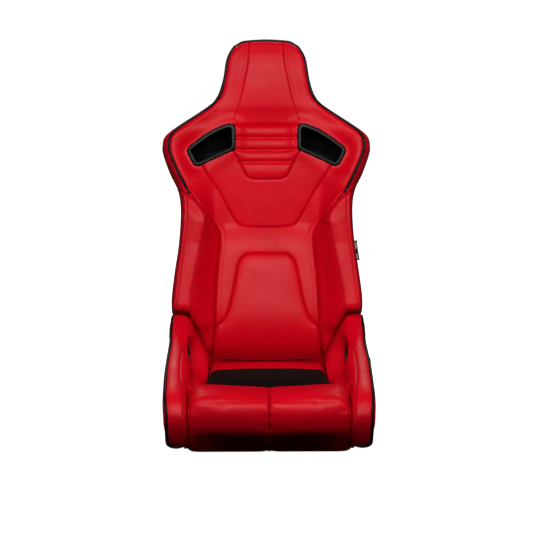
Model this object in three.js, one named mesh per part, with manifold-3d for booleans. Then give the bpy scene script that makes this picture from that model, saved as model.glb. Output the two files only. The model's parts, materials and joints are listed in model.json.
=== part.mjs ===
// A reclining bucket racing seat: an upholstered base on a steel frame, and a backrest with harness slots
// that turns on a recliner at each side. Millimetres. The seat faces -Y, +X is on the right seen from the
// front, +Z is up, and the origin is on the floor under the centre of the whole seat.
import * as THREE from "three";
import { mergeVertices } from "three/addons/utils/BufferGeometryUtils.js";
import Module from "manifold-3d";

const wasm = await Module();
wasm.setup();

// ---- Driving dimensions ----
const GAP = 0.3; // clearance between pieces that touch
const CENTRE_Y = 5.5; // the places below lie this far ahead of the finished seat's own frame
const PIVOT = { y: 114, z: 110 }; // the recliners' common axis, parallel to X
const BACK_ANGLE = THREE.MathUtils.degToRad(17); // the backrest's lean from the vertical in driving position
const RAIL = { x: 200, size: 25, front: -336, rear: 154 };
const BOLT = { radius: 4.5, front: -278, rear: 12 };
const CROSS_TUBE = { radius: 11, front: -301, rear: 39 };
const CUSHION = {
  front: -248.5,
  rear: 54,
  front_z: 137,
  rear_z: 94,
  front_half: 168,
  rear_half: 155,
  base_z: 51.2,
};
const ROLL = { front: -386, half: 203, crest_z: 148, base_z: 5 };
const BOLSTER_REAR = 62; // rear end of the base bolsters
const TOP_W = 845; // height of the headrest above the pivot, along the backrest
const BOTTOM_RADIUS = 48; // the backrest's lower end is round about the pivot
const TRAY_DEPTH = 38; // thickness of the rear cover's tray, which holds the backrest's frame
const HOOP = { radius: 10, depth: 17 };
const DISC = { radius: 36, thickness: 6, hole: 8 };
const SHAFT_RADIUS = 5;
const PIPING_RADIUS = 2.5;

// ---- Colours ----
const finish = (color, roughness, metalness = 0) =>
  new THREE.MeshStandardMaterial({ color, roughness, metalness });
const RED_LEATHER = finish(0xc2102a, 0.42);
const BLACK_FABRIC = finish(0x17100f, 0.95);
const BLACK_PIPING = finish(0x14150f, 0.45);
const BLACK_PLASTIC = finish(0x1d1c1b, 0.5);
const BLACK_STEEL = finish(0x222326, 0.45, 0.6);
const BARE_STEEL = finish(0x9a9ca0, 0.35, 1);
const LABEL_CLOTH = finish(0xd8d8d4, 0.8);

// ---- Tools ----
const clamp01 = (v) => Math.min(1, Math.max(0, v));
const ease = (from, to, v) => THREE.MathUtils.smoothstep(v, from, to);

// A closed three.js geometry as a manifold-3d solid.
function solid(geometry) {
  const bare = geometry.index ? geometry.toNonIndexed() : geometry.clone();
  bare.deleteAttribute("normal");
  bare.deleteAttribute("uv");
  const merged = mergeVertices(bare, 1e-3);
  return new wasm.Manifold(
    new wasm.Mesh({
      numProp: 3,
      vertProperties: merged.attributes.position.array,
      triVerts: new Uint32Array(merged.index.array),
    }),
  );
}

function geometryOf(made) {
  const mesh = made.getMesh();
  const geometry = new THREE.BufferGeometry();
  geometry.setAttribute("position", new THREE.BufferAttribute(new Float32Array(mesh.vertProperties), 3));
  geometry.setIndex(new THREE.BufferAttribute(new Uint32Array(mesh.triVerts), 1));
  geometry.computeVertexNormals();
  return geometry;
}

const cut = (body, ...cutters) => cutters.reduce((left, cutter) => left.subtract(cutter), body);

function add(parent, name, shape, material) {
  const mesh = new THREE.Mesh(shape.isBufferGeometry ? shape : geometryOf(shape), material);
  mesh.name = name;
  parent.add(mesh);
  return mesh;
}

// A box from its lowest and highest corners.
function box(low, high) {
  const size = high.map((v, i) => v - low[i]);
  return new THREE.BoxGeometry(...size).translate(...low.map((v, i) => v + size[i] / 2));
}

// A cylinder along X.
function rodX(radius, x0, x1, y, z, segments = 24) {
  return new THREE.CylinderGeometry(radius, radius, x1 - x0, segments)
    .rotateZ(Math.PI / 2)
    .translate((x0 + x1) / 2, y, z);
}

// A cylinder along Z.
const upright = (radius, length, segments) =>
  new THREE.CylinderGeometry(radius, radius, length, segments).rotateX(Math.PI / 2);

// An outline in (y, z), extruded along X from x0 to x1, with an optional rounded rim inside that span.
function sidePlate(shape, x0, x1, rim = 0, rimSegments = 2, curveSegments = 8) {
  return new THREE.ExtrudeGeometry(shape, {
    depth: x1 - x0 - 2 * rim,
    bevelEnabled: rim > 0,
    bevelThickness: rim,
    bevelSize: rim,
    bevelOffset: -rim,
    bevelSegments: rimSegments,
    curveSegments,
  })
    .rotateX(Math.PI / 2)
    .rotateZ(Math.PI / 2)
    .translate(x0 + rim, 0, 0);
}

// An outline in (x, w), extruded along the backrest's depth from d0 to d1.
function facePlate(shape, d0, d1, rim = 0, curveSegments = 4) {
  return new THREE.ExtrudeGeometry(shape, {
    depth: d1 - d0 - 2 * rim,
    bevelEnabled: rim > 0,
    bevelThickness: rim,
    bevelSize: rim,
    bevelOffset: -rim,
    bevelSegments: 1,
    curveSegments,
  })
    .rotateX(Math.PI / 2)
    .translate(0, d1 - rim, 0);
}

// A round tube through points.
function tube(points, radius, sides, steps, closed = false) {
  const section = new THREE.Shape(
    Array.from({ length: sides }, (_, i) => {
      const a = (2 * Math.PI * i) / sides;
      return new THREE.Vector2(radius * Math.cos(a), radius * Math.sin(a));
    }),
  );
  const path = new THREE.CatmullRomCurve3(points.map((p) => new THREE.Vector3(...p)), closed, "centripetal");
  return new THREE.ExtrudeGeometry(section, { steps, extrudePath: path });
}

// A closed skin over rows of points, each row a ring with as many points as the next, with flat ends.
function loft(rings) {
  const n = rings[0].length;
  const positions = rings.flat(2);
  const index = [];
  for (let r = 0; r + 1 < rings.length; r++) {
    for (let i = 0; i < n; i++) {
      const a = r * n + i;
      const b = r * n + ((i + 1) % n);
      index.push(a, b, b + n, a, b + n, a + n);
    }
  }
  const addEnd = (ring, first, flip) => {
    const middle = [0, 1, 2].map((k) => ring.reduce((sum, p) => sum + p[k], 0) / n);
    const centre = positions.push(...middle) / 3 - 1;
    for (let i = 0; i < n; i++) {
      const pair = [first + i, first + ((i + 1) % n)];
      index.push(centre, ...(flip ? pair.reverse() : pair));
    }
  };
  addEnd(rings[0], 0, true);
  addEnd(rings.at(-1), (rings.length - 1) * n, false);
  const geometry = new THREE.BufferGeometry();
  geometry.setAttribute("position", new THREE.BufferAttribute(new Float32Array(positions), 3));
  geometry.setIndex(index);
  return solid(geometry);
}

// The same solid, mirrored in x for side -1.
const onSide = (made, side) => (side > 0 ? made : made.mirror([1, 0, 0]));
const SIDES = [
  ["left", -1],
  ["right", 1],
];

// A polygon with its corners rounded and its edges moved out by grow. Corners run anticlockwise.
function roundedPolygon(corners, radius, grow = 0) {
  const n = corners.length;
  const moved = corners.map((corner, i) => {
    const before = corners[(i + n - 1) % n];
    const after = corners[(i + 1) % n];
    const normals = [
      [before, corner],
      [corner, after],
    ].map(([a, b]) => new THREE.Vector2(b[1] - a[1], a[0] - b[0]).normalize());
    const half = normals[0].clone().add(normals[1]).normalize();
    return new THREE.Vector2(...corner).addScaledVector(half, grow / half.dot(normals[0]));
  });
  const shape = new THREE.Shape();
  moved.forEach((corner, i) => {
    const toward = (other) => other.clone().sub(corner).normalize().multiplyScalar(radius + grow).add(corner);
    const start = toward(moved[(i + n - 1) % n]);
    const end = toward(moved[(i + 1) % n]);
    if (i === 0) shape.moveTo(start.x, start.y);
    else shape.lineTo(start.x, start.y);
    shape.quadraticCurveTo(corner.x, corner.y, end.x, end.y);
  });
  shape.closePath();
  return shape;
}

const seat = new THREE.Group();
seat.position.y = -CENTRE_Y;
const back = new THREE.Group(); // in the backrest's own frame: x, depth to the rear, height w above the pivot
back.position.set(0, PIVOT.y, PIVOT.z);
back.rotation.x = -BACK_ANGLE;
seat.add(back);

// ---- Base frame ----
function addBaseFrame() {
  for (const [side, s] of SIDES) {
    const rail = solid(
      box([s * RAIL.x - RAIL.size / 2, RAIL.front, 0], [s * RAIL.x + RAIL.size / 2, RAIL.rear, RAIL.size]),
    );
    const holes = [BOLT.front, BOLT.rear].map((y) =>
      solid(upright(BOLT.radius, 60, 16).translate(s * RAIL.x, y, 0)),
    );
    add(seat, `mounting_rail_${side}`, cut(rail, ...holes), BLACK_STEEL);
  }
  const tubeHalf = RAIL.x + RAIL.size / 2;
  const tubeZ = RAIL.size + GAP + CROSS_TUBE.radius;
  for (const place of ["front", "rear"]) {
    const bar = rodX(CROSS_TUBE.radius, -tubeHalf, tubeHalf, CROSS_TUBE[place], tubeZ);
    add(seat, `base_cross_tube_${place}`, bar, BLACK_STEEL);
  }
  addSeatPan(tubeZ + CROSS_TUBE.radius + GAP);
}

// A pressed steel pan with a row of round lightening holes, under the cushion.
function addSeatPan(z) {
  const thickness = 2.6;
  const half = CUSHION.rear_half - 3;
  const holeRadius = 22;
  const sheet = solid(box([-half, RAIL.front + 8, z], [half, CUSHION.rear - 2, z + thickness]));
  const holes = [-90, 0, 90].flatMap((x) =>
    [-190, -100, -15].map((y) =>
      solid(upright(holeRadius, 40, 14).translate(x, y, z)),
    ),
  );
  add(seat, "seat_pan", cut(sheet, ...holes), BLACK_STEEL);
}

// ---- Recliners: fixed bracket and half disc on the base, moving half disc and bracket on the backrest ----
const BRACKET_X = RAIL.x + RAIL.size / 2 + GAP; // inner face of the fixed bracket
const BRACKET_THICKNESS = 4;
const COVER_X = BRACKET_X + BRACKET_THICKNESS + GAP; // inner edge of the side cover
const COVER_DEPTH = 25;

// The fixed bracket in (y, z): a foot on the rail, and a round head about the pivot.
function fixedBracketShape() {
  const head = 41;
  const foot = { front: PIVOT.y - 39, rear: PIVOT.y + 38, low: 3, high: 24 };
  const shape = new THREE.Shape();
  shape.moveTo(foot.front, foot.low);
  shape.lineTo(foot.rear, foot.low);
  shape.lineTo(foot.rear, foot.high);
  shape.lineTo(PIVOT.y + head, PIVOT.z - 20);
  shape.absarc(PIVOT.y, PIVOT.z, head, -Math.PI / 9, Math.PI + Math.PI / 9, false);
  shape.lineTo(foot.front, foot.high);
  shape.closePath();
  const hole = new THREE.Path();
  hole.absarc(PIVOT.y, PIVOT.z, DISC.hole, 0, 2 * Math.PI, true);
  shape.holes.push(hole);
  return shape;
}

function ringShape(y, z, radius, hole) {
  const shape = new THREE.Shape();
  shape.absarc(y, z, radius, 0, 2 * Math.PI, false);
  const inner = new THREE.Path();
  inner.absarc(y, z, hole, 0, 2 * Math.PI, true);
  shape.holes.push(inner);
  return shape;
}

// A flat spiral spring about the pivot, as an outline of its outer face and back along its inner one.
function spiralShape() {
  const turns = 3.25;
  const steps = 52;
  const strip = 2;
  const [inner, outer] = [11, 30];
  const at = (i, offset) => {
    const a = (2 * Math.PI * turns * i) / steps;
    const r = inner + ((outer - inner) * i) / steps + offset;
    return new THREE.Vector2(PIVOT.y + r * Math.cos(a), PIVOT.z + r * Math.sin(a));
  };
  const out = Array.from({ length: steps + 1 }, (_, i) => at(i, strip / 2));
  const home = Array.from({ length: steps + 1 }, (_, i) => at(steps - i, -strip / 2));
  return new THREE.Shape([...out, ...home]);
}

// The side cover: a hollow moulding over the bracket and its spring, open towards the seat.
function sideCover() {
  const corners = [
    [PIVOT.y - 46, 9],
    [PIVOT.y + 46, 9],
    [PIVOT.y + 58, 112],
    [PIVOT.y + 36, 160],
    [PIVOT.y - 30, 162],
    [PIVOT.y - 49, 110],
  ];
  const wall = 2.5;
  const rounded = 24;
  const rim = 5;
  const shell = solid(
    sidePlate(roundedPolygon(corners, rounded), COVER_X - rim, COVER_X + COVER_DEPTH, rim, 2, 6),
  );
  const cavity = solid(
    sidePlate(
      roundedPolygon(corners, rounded, -wall),
      COVER_X - 2 * rim,
      COVER_X + COVER_DEPTH - wall,
      0,
      2,
      6,
    ),
  );
  const trim = solid(box([COVER_X - 50, 0, 0], [COVER_X, 400, 400]));
  const shaftHole = solid(rodX(DISC.hole, COVER_X, COVER_X + 60, PIVOT.y, PIVOT.z, 20));
  return cut(shell, cavity, trim, shaftHole);
}

function addRecliners() {
  for (const [side, s] of SIDES) {
    const fixedPlate = solid(sidePlate(fixedBracketShape(), BRACKET_X, BRACKET_X + BRACKET_THICKNESS));
    add(seat, `recliner_bracket_${side}`, onSide(fixedPlate, s), BLACK_STEEL);
    const fixedX = BRACKET_X - GAP - DISC.thickness;
    const ring = ringShape(PIVOT.y, PIVOT.z, DISC.radius, DISC.hole);
    const fixedDisc = solid(sidePlate(ring, fixedX, fixedX + DISC.thickness));
    add(seat, `recliner_fixed_disc_${side}`, onSide(fixedDisc, s), BARE_STEEL);
    const springX = COVER_X + 0.5;
    const spring = solid(sidePlate(spiralShape(), springX, springX + 7));
    add(seat, `return_spring_${side}`, onSide(spring, s), BARE_STEEL);
    add(seat, `recliner_cover_${side}`, onSide(sideCover(), s), BLACK_PLASTIC);
    addCoverScrews(side, s);

    const movingX = fixedX - GAP - DISC.thickness;
    const movingRing = ringShape(0, 0, DISC.radius, DISC.hole);
    const movingDisc = solid(sidePlate(movingRing, movingX, movingX + DISC.thickness));
    add(back, `recliner_moving_disc_${side}`, onSide(movingDisc, s), BARE_STEEL);
    add(back, `backrest_bracket_${side}`, onSide(movingBracket(movingX - GAP), s), BLACK_STEEL);
  }
}

// Round-headed screws through the side cover's face.
function addCoverScrews(side, s) {
  const places = [
    [PIVOT.y, 38],
    [PIVOT.y + 6, 148],
  ];
  places.forEach(([y, z], i) => {
    const x = COVER_X + COVER_DEPTH + GAP;
    const profile = [
      [0, 0],
      [5, 0],
      [4.4, 1.6],
      [2.6, 2.6],
      [0, 2.8],
    ].map((p) => new THREE.Vector2(...p));
    const head = new THREE.LatheGeometry(profile, 16).rotateZ(-Math.PI / 2).translate(x, y, z);
    add(seat, `cover_screw_${side}_${i + 1}`, onSide(solid(head), s), BARE_STEEL);
  });
}

// The backrest's bracket: a round plate about the pivot with an arm up, and a block that meets the frame.
function movingBracket(outerX) {
  const plate = ringShape(0, 0, DISC.radius - 2, DISC.hole);
  const arm = box([outerX - BRACKET_THICKNESS, -14, 20], [outerX, 30, 46]);
  const block = box([UPRIGHT_X + HOOP.radius + GAP, 7, -14], [outerX - 1, 27, 46]);
  return solid(sidePlate(plate, outerX - BRACKET_THICKNESS, outerX))
    .add(solid(arm))
    .add(cut(solid(block), solid(rodX(DISC.hole, 0, 400, 0, 0))));
}

// ---- Release lever with its cross shaft ----
const LEVER_X = 268; // inner face of the lever's arm
function addLever() {
  const rightEnd = LEVER_X + 3;
  const leftEnd = COVER_X + 14;
  const shaft = rodX(SHAFT_RADIUS, -leftEnd, COVER_X + COVER_DEPTH + 1, PIVOT.y, PIVOT.z, 16);
  add(seat, "recliner_cross_shaft", shaft, BARE_STEEL);
  const clip = ringShape(PIVOT.y, PIVOT.z, SHAFT_RADIUS + 4, SHAFT_RADIUS + GAP);
  add(seat, "shaft_clip", onSide(solid(sidePlate(clip, leftEnd - 4, leftEnd - 2)), -1), BARE_STEEL);

  const hubX = COVER_X + COVER_DEPTH + 1 + GAP;
  const reach = 132; // from the pivot to the lever's tip
  const armShape = new THREE.Shape();
  armShape.moveTo(-reach + 6, -10);
  armShape.lineTo(0, -15);
  armShape.absarc(0, 0, 15, -Math.PI / 2, Math.PI / 2, false);
  armShape.lineTo(-reach + 6, 8);
  armShape.closePath();
  const hub = solid(rodX(15, hubX, rightEnd, 0, 0, 24));
  const arm = hub.add(solid(sidePlate(armShape, LEVER_X, LEVER_X + 5, 1, 1)));
  const grip = roundedPolygon(
    [
      [-reach, -15],
      [-reach + 72, -17],
      [-reach + 72, 16],
      [-reach, 13],
    ],
    9,
  );
  const sleeve = cut(solid(sidePlate(grip, LEVER_X - 1.2, LEVER_X + 10, 1.2, 2, 4)), thicker(armShape));
  const lever = new THREE.Group();
  lever.position.set(0, PIVOT.y, PIVOT.z);
  lever.rotation.x = THREE.MathUtils.degToRad(10); // the tip points a little down
  add(lever, "recliner_lever", arm, BLACK_STEEL);
  add(lever, "lever_grip", sleeve, BLACK_PLASTIC);
  seat.add(lever);

  // The arm's own room inside the grip.
  function thicker() {
    const room = roundedPolygon(
      [
        [-reach + 4, -11],
        [10, -17],
        [10, 17],
        [-reach + 4, 9],
      ],
      1,
    );
    return solid(sidePlate(room, LEVER_X - GAP, LEVER_X + 5 + GAP));
  }
}

// ---- Upholstery of the base ----
const lerp = THREE.MathUtils.lerp;
const alongCushion = (y) => clamp01((y - CUSHION.front) / (CUSHION.rear - CUSHION.front));
const cushionHalf = (y) => lerp(CUSHION.front_half, CUSHION.rear_half, alongCushion(y));
const cushionTop = (y) => lerp(CUSHION.front_z, CUSHION.rear_z, alongCushion(y));

function addCushion() {
  const rings = [CUSHION.front, -190, -110, -30, CUSHION.rear - 14, CUSHION.rear].map((y) => {
    const half = cushionHalf(y);
    const top = cushionTop(y) - (y === CUSHION.rear ? 14 : 0);
    const profile = [
      [-half, CUSHION.base_z],
      [half, CUSHION.base_z],
      [half, top - 6],
      [half - 8, top],
      [-half + 8, top],
      [-half, top - 6],
    ];
    return profile.map(([x, z]) => [x, y, z]);
  });
  add(seat, "seat_cushion", loft(rings.reverse()), BLACK_FABRIC);
}

// The roll under the thighs: an apron in front, a round nose and a top that meets the cushion.
function addFrontRoll() {
  const shape = new THREE.Shape();
  shape.moveTo(RAIL.front - 2, ROLL.base_z);
  shape.lineTo(RAIL.front - 2, CUSHION.base_z);
  shape.lineTo(CUSHION.front - GAP, CUSHION.base_z);
  shape.lineTo(CUSHION.front - GAP, CUSHION.front_z);
  shape.quadraticCurveTo(-300, ROLL.crest_z + 2, -330, ROLL.crest_z - 2);
  shape.quadraticCurveTo(ROLL.front + 4, ROLL.crest_z - 12, ROLL.front, 88);
  shape.quadraticCurveTo(ROLL.front + 1, 30, ROLL.front + 20, ROLL.base_z);
  shape.closePath();
  add(seat, "front_roll", sidePlate(shape, -ROLL.half, ROLL.half, 10, 3, 7), RED_LEATHER);
}

// Half width, top height and inner top edge of a base bolster along its length.
const BOLSTER_STATIONS = [
  // y, outer x, top z
  [-384, 252, 84],
  [-376, 258, 102],
  [-353, 262, 130],
  [-313, 265, 148],
  [-251, 268, 156],
  [-191, 269, 161],
  [-131, 268, 170],
  [-81, 266, 178],
  [-31, 264, 190],
  [19, 263, 215],
  [50, 262, 231],
  [BOLSTER_REAR, 258, 232],
];

function bolsterRing([y, outer, top]) {
  const inner = cushionHalf(y) + 0.5;
  const seatLine = cushionTop(y) - 4;
  const nose = clamp01((-353 - y) / 31); // 1 at the round front end, 0 behind it
  const low = 15 + 9 * nose * nose;
  return [
    [inner, y, low],
    [outer - 14, y, low],
    [outer - 6, y, low + 8],
    [outer - 4, y, Math.min(95, top - 40)],
    [outer, y, top - 26],
    [outer - 3, y, top - 9],
    [outer - 12, y, top],
    [226, y, top],
    [214, y, top - 7],
    [205, y, top - 26],
    [inner, y, Math.min(seatLine, top - 32)],
  ];
}

// A belt's hole through the bolster, in (y, z), and the sleeve that lines it.
const BELT_HOLE = { y: -46, z: 142, half_length: 42, half_height: 29, tilt: 0.25, sleeve: 2.5 };

function beltHole(grow) {
  const { y, z, half_length, half_height, tilt } = BELT_HOLE;
  const shape = new THREE.Shape();
  shape.absellipse(y, z, half_length + grow, half_height + grow, 0, 2 * Math.PI, false, tilt);
  return solid(sidePlate(shape, 100, 320, 0, 1, 10));
}

const bolsterBody = () => loft(BOLSTER_STATIONS.map(bolsterRing).reverse());

function baseBolster(pipingGroove) {
  const overFrame = solid(box([0, RAIL.front - 1.5, 0], [BRACKET_X + 4.6, 200, CUSHION.base_z]));
  const besideRoll = solid(box([0, -420, 0], [ROLL.half + GAP + 0.2, CUSHION.front - GAP, 200]));
  return cut(bolsterBody(), overFrame, besideRoll, beltHole(BELT_HOLE.sleeve + GAP), pipingGroove);
}

const beltSleeve = () => bolsterBody().intersect(cut(beltHole(BELT_HOLE.sleeve), beltHole(0)));

// The piping's centre line: out from the roll along the bottom, round the corner and back along the top edge.
function basePipingPath() {
  const run = BOLSTER_STATIONS.slice(1, -1).map(([y, outer, top]) => [outer - 7.5, y, top - 4.5]);
  const nose = [
    [ROLL.half + 6, -372, 26],
    [232, -377, 23],
    [244, -381, 30],
    [248, -382, 56],
  ];
  return [...nose, ...run];
}

function addBaseBolsters() {
  const piping = (radius) => tube(basePipingPath(), radius, 5, 38);
  for (const [side, s] of SIDES) {
    const bolster = baseBolster(solid(piping(PIPING_RADIUS + GAP)));
    add(seat, `base_bolster_${side}`, onSide(bolster, s), RED_LEATHER);
    add(seat, `belt_sleeve_${side}`, onSide(beltSleeve(), s), BLACK_PLASTIC);
    add(seat, `base_piping_${side}`, onSide(solid(piping(PIPING_RADIUS)), s), BLACK_PIPING);
  }
}

// ---- Backrest ----
// Half outline of the backrest as (x, w), from its lower end to the top of the headrest.
const OUTLINE = new THREE.SplineCurve(
  [
    [182, -46],
    [190, -34],
    [190, 42],
    [208, 64],
    [240, 88],
    [258, 116],
    [259, 150],
    [250, 220],
    [239, 295],
    [234, 380],
    [241, 436],
    [263, 484],
    [281, 534],
    [284, 560],
    [274, 590],
    [224, 627],
    [163, 664],
    [135, 695],
    [119, 740],
    [108, 793],
    [91, 826],
    [59, TOP_W],
  ].map((p) => new THREE.Vector2(...p)),
);
const ROWS = OUTLINE.getSpacedPoints(42);
const COLUMNS = [0, 0.2, 0.38, 0.52, 0.62, 0.72, 0.81, 0.88, 0.93, 0.97, 1];

// Depth of the padding's front along the middle of the backrest, as (w, depth).
const MIDDLE = new THREE.SplineCurve(
  [
    [-46, -12],
    [-30, -36],
    [0, -47],
    [50, -62],
    [115, -76],
    [200, -66],
    [300, -52],
    [340, -48],
    [420, -56],
    [500, -60],
    [600, -58],
    [625, -60],
    [665, -74],
    [730, -80],
    [800, -72],
    [835, -52],
    [TOP_W, -16],
  ].map((p) => new THREE.Vector2(...p)),
).getPoints(120);

function middleDepth(w) {
  const i = MIDDLE.findIndex((p) => p.x >= w);
  if (i <= 0) return i === 0 ? MIDDLE[0].y : MIDDLE.at(-1).y;
  const [a, b] = [MIDDLE[i - 1], MIDDLE[i]];
  return lerp(a.y, b.y, (w - a.x) / (b.x - a.x));
}

// The side bolsters rise ahead of the middle between the hips and the ribs, and the shoulders curve forwards.
const bolsterRise = (w) => 58 * ease(100, 175, w) * (1 - ease(300, 450, w));
const shoulderRise = (w) => 26 * ease(430, 520, w) * (1 - ease(590, 700, w));

function frontDepth(x, w, half) {
  const across = Math.abs(x);
  const inside =
    middleDepth(w) -
    bolsterRise(w) * ease(128, 188, across) -
    shoulderRise(w) * ease(90, 235, across) +
    26 * ease(140, 215, across) * (1 - ease(60, 130, w)) * ease(-10, 40, w);
  const edge = -12;
  const rim = lerp(24, 15, ease(600, 700, w));
  const drop = clamp01((half - across) / rim);
  return edge + (inside - edge) * Math.sqrt(1 - (1 - drop) ** 2);
}

function frontPadding() {
  const rings = ROWS.map(({ x: half, y: w }) => {
    const across = [...COLUMNS.slice(1).map((c) => -c).reverse(), ...COLUMNS].map((c) => c * half);
    const front = across.map((x) => [x, frontDepth(x, w, half), w]);
    return [...front, [half, 0, w], [-half, 0, w]];
  });
  return loft(rings);
}

// Corners of a harness slot in (x, w), anticlockwise, on the right-hand side.
const SLOT = [
  [90, 544],
  [195, 512],
  [209, 546],
  [90, 607],
];
const SLOT_RADIUS = 9;
const BEZEL = { width: 8, depth: 7, turn: 0.15, at: [140, -69] }; // the bezel's plane faces a little inwards

const bezelFrame = new THREE.Matrix4().makeTranslation(BEZEL.at[0], BEZEL.at[1], 0)
  .multiply(new THREE.Matrix4().makeRotationZ(-BEZEL.turn))
  .multiply(new THREE.Matrix4().makeTranslation(-BEZEL.at[0], 0, 0));

const slotShape = (grow) => roundedPolygon(SLOT, SLOT_RADIUS, grow);
const slotPrism = (grow, d0, d1) => solid(facePlate(slotShape(grow), d0, d1));

function withHole(outer, inner) {
  outer.holes.push(new THREE.Path(inner.getPoints(4).reverse()));
  return outer;
}

// A front bezel with the sleeve that leads a harness belt through the backrest.
function harnessBezel() {
  const outline = withHole(slotShape(BEZEL.width), slotShape(-1));
  const ring = facePlate(outline, -BEZEL.depth, 0, 1.6).applyMatrix4(bezelFrame);
  const sleeve = facePlate(withHole(slotShape(2), slotShape(0)), -110, TRAY_DEPTH - GAP);
  const aheadOfRing = box([-400, -300, -500], [400, -1, 1500]).applyMatrix4(bezelFrame);
  return solid(ring).add(cut(solid(sleeve), solid(aheadOfRing)));
}

const bezelRecess = () => {
  const prism = facePlate(slotShape(BEZEL.width + 0.5), -200, GAP).applyMatrix4(bezelFrame);
  return solid(prism);
};

// Seam that parts a side bolster from the middle panels, as (x, w).
const BOLSTER_SEAM = [
  [150, -80],
  [150, 5],
  [140, 72],
  [132, 248],
  [129, 318],
  [140, 346],
  [180, 400],
  [204, 430],
  [330, 560],
];

function addPadding() {
  const shaftRoom = solid(rodX(SHAFT_RADIUS + 3, -400, 400, 0, 0, 16));
  const slotCuts = () => [slotPrism(2 + GAP, -200, 200), bezelRecess()];
  const slots = SIDES.flatMap(([, s]) => slotCuts().map((c) => onSide(c, s)));
  const groove = solid(backPiping(PIPING_RADIUS + GAP));
  const padding = cut(frontPadding(), shaftRoom, groove, ...slots);

  const shapeOf = (points) => new THREE.Shape(points.map(([x, w]) => new THREE.Vector2(x, w)));
  const prism = (points) => solid(facePlate(shapeOf(points), -400, 10));
  const far = 330;
  const bolsterCell = [...BOLSTER_SEAM, [far, -80]].reverse();
  const seamX = 78;
  const headCell = (w) => [
    [-far, 480],
    [-200, 528],
    [-seamX, w],
    [seamX, w],
    [200, 528],
    [far, 480],
    [far, 900],
    [-far, 900],
  ];
  const parting = GAP / 2;
  const lumbarTop = 337;
  const bolsters = SIDES.map(([, s]) => onSide(prism(bolsterCell), s));
  for (const [i, [side, s]] of SIDES.entries()) {
    add(back, `back_bolster_${side}`, padding.intersect(bolsters[i].translate([s * GAP, 0, 0])), RED_LEATHER);
  }
  const middle = cut(padding, ...bolsters);
  const head = prism(headCell(616));
  const lowHalf = solid(box([-far, -400, -100], [far, 10, lumbarTop]));
  add(back, "lumbar_pad", middle.intersect(lowHalf), RED_LEATHER);
  const raised = (made, dw) => made.translate([0, 0, dw]);
  add(back, "upper_back_pad", cut(middle, raised(lowHalf, GAP), raised(head, -parting)), RED_LEATHER);
  const headrest = middle.intersect(raised(head, parting));
  add(back, "headrest_pad", headrest, RED_LEATHER);
}

// ---- Rear cover: a tray as wide as the padding, which closes the frame in ----
function trayRings(inset, d0, d1, lipInset) {
  return ROWS.map(({ x: half, y: w }, i) => {
    const end = i === 0 ? inset : i === ROWS.length - 1 ? -inset : 0;
    const h = half - inset;
    return [
      [-h, d0, w + end],
      [h, d0, w + end],
      [h - lipInset * 0.3, d1 - 10, w + end],
      [h - lipInset, d1, w + end],
      [-h + lipInset, d1, w + end],
      [-h + lipInset * 0.3, d1 - 10, w + end],
    ];
  });
}

function rearCover() {
  const wall = 3.5;
  const outer = loft(trayRings(0, GAP, TRAY_DEPTH, 12));
  const roundEnd = (radius) =>
    solid(rodX(radius, -400, 400, 0, 0, 48)).add(solid(box([-400, -100, -14], [400, 100, 900])));
  const inner = loft(trayRings(wall, -20, TRAY_DEPTH - wall, 12)).intersect(roundEnd(BOTTOM_RADIUS - wall));
  const holes = SIDES.flatMap(([, s]) => [
    onSide(slotPrism(2 + GAP, -200, 200), s),
    onSide(solid(box([160, 6, -15], [220, 28, 47])), s),
  ]);
  const shaftRoom = solid(rodX(DISC.hole, -400, 400, 0, 0, 16));
  return cut(outer.intersect(roundEnd(BOTTOM_RADIUS)), inner, shaftRoom, ...holes);
}

// ---- Backrest frame ----
const UPRIGHT_X = 171;
const HOOP_HALF = [
  [UPRIGHT_X, -20],
  [UPRIGHT_X, 50],
  [208, 150],
  [214, 290],
  [211, 390],
  [228, 460],
  [252, 540],
];
const HOOP_TOP = [
  [252, 552],
  [243, 586],
  [205, 616],
  [140, 655],
  [105, 705],
  [92, 760],
  [78, 800],
  [40, 822],
  [0, 824],
];

function addBackFrame() {
  const at = (s) => ([x, w]) => [s * x, HOOP.depth, w];
  for (const [side, s] of SIDES) {
    add(back, `frame_upright_${side}`, tube(HOOP_HALF.map(at(s)), HOOP.radius, 8, 20), BLACK_STEEL);
  }
  const top = [...HOOP_TOP.map(at(-1)), ...HOOP_TOP.slice(0, -1).reverse().map(at(1))];
  add(back, "frame_head_hoop", tube(top, HOOP.radius, 8, 36), BLACK_STEEL);
  const bars = [
    ["lower", 60, 172],
    ["middle", 330, 202],
    ["upper", 470, 217],
  ];
  for (const [place, w, reach] of bars) {
    const half = reach - HOOP.radius - 3;
    add(back, `frame_crossbar_${place}`, rodX(8, -half, half, HOOP.depth, w, 12), BLACK_STEEL);
  }
  [130, 200, 265].forEach((w, i) => addBackSpring(i + 1, w));
}

// A zigzag spring wire across the frame that carries the padding.
function addBackSpring(number, w) {
  const half = 186;
  const waves = 9;
  const height = 11;
  const points = Array.from({ length: 2 * waves + 1 }, (_, i) => [
    lerp(-half, half, i / (2 * waves)),
    9,
    w + (i % 2 ? height : -height),
  ]);
  add(back, `back_spring_${number}`, tube(points, 1.8, 4, 54), BARE_STEEL);
}

// ---- Backrest trim ----
function addBackTrim() {
  for (const [side, s] of SIDES) {
    add(back, `harness_bezel_${side}`, onSide(harnessBezel(), s), BLACK_PLASTIC);
    const outline = withHole(slotShape(BEZEL.width), slotShape(2 + GAP));
    const rear = facePlate(outline, TRAY_DEPTH + GAP, TRAY_DEPTH + 4, 1);
    add(back, `rear_bezel_${side}`, onSide(solid(rear), s), BLACK_PLASTIC);
  }
  add(back, "rear_cover", rearCover(), RED_LEATHER);
  add(back, "back_piping", backPiping(PIPING_RADIUS), BLACK_PIPING);
  const tag = box([247, -38, 246], [253, -36, 292]);
  add(back, "side_tag", tag, LABEL_CLOTH);
}

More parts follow.
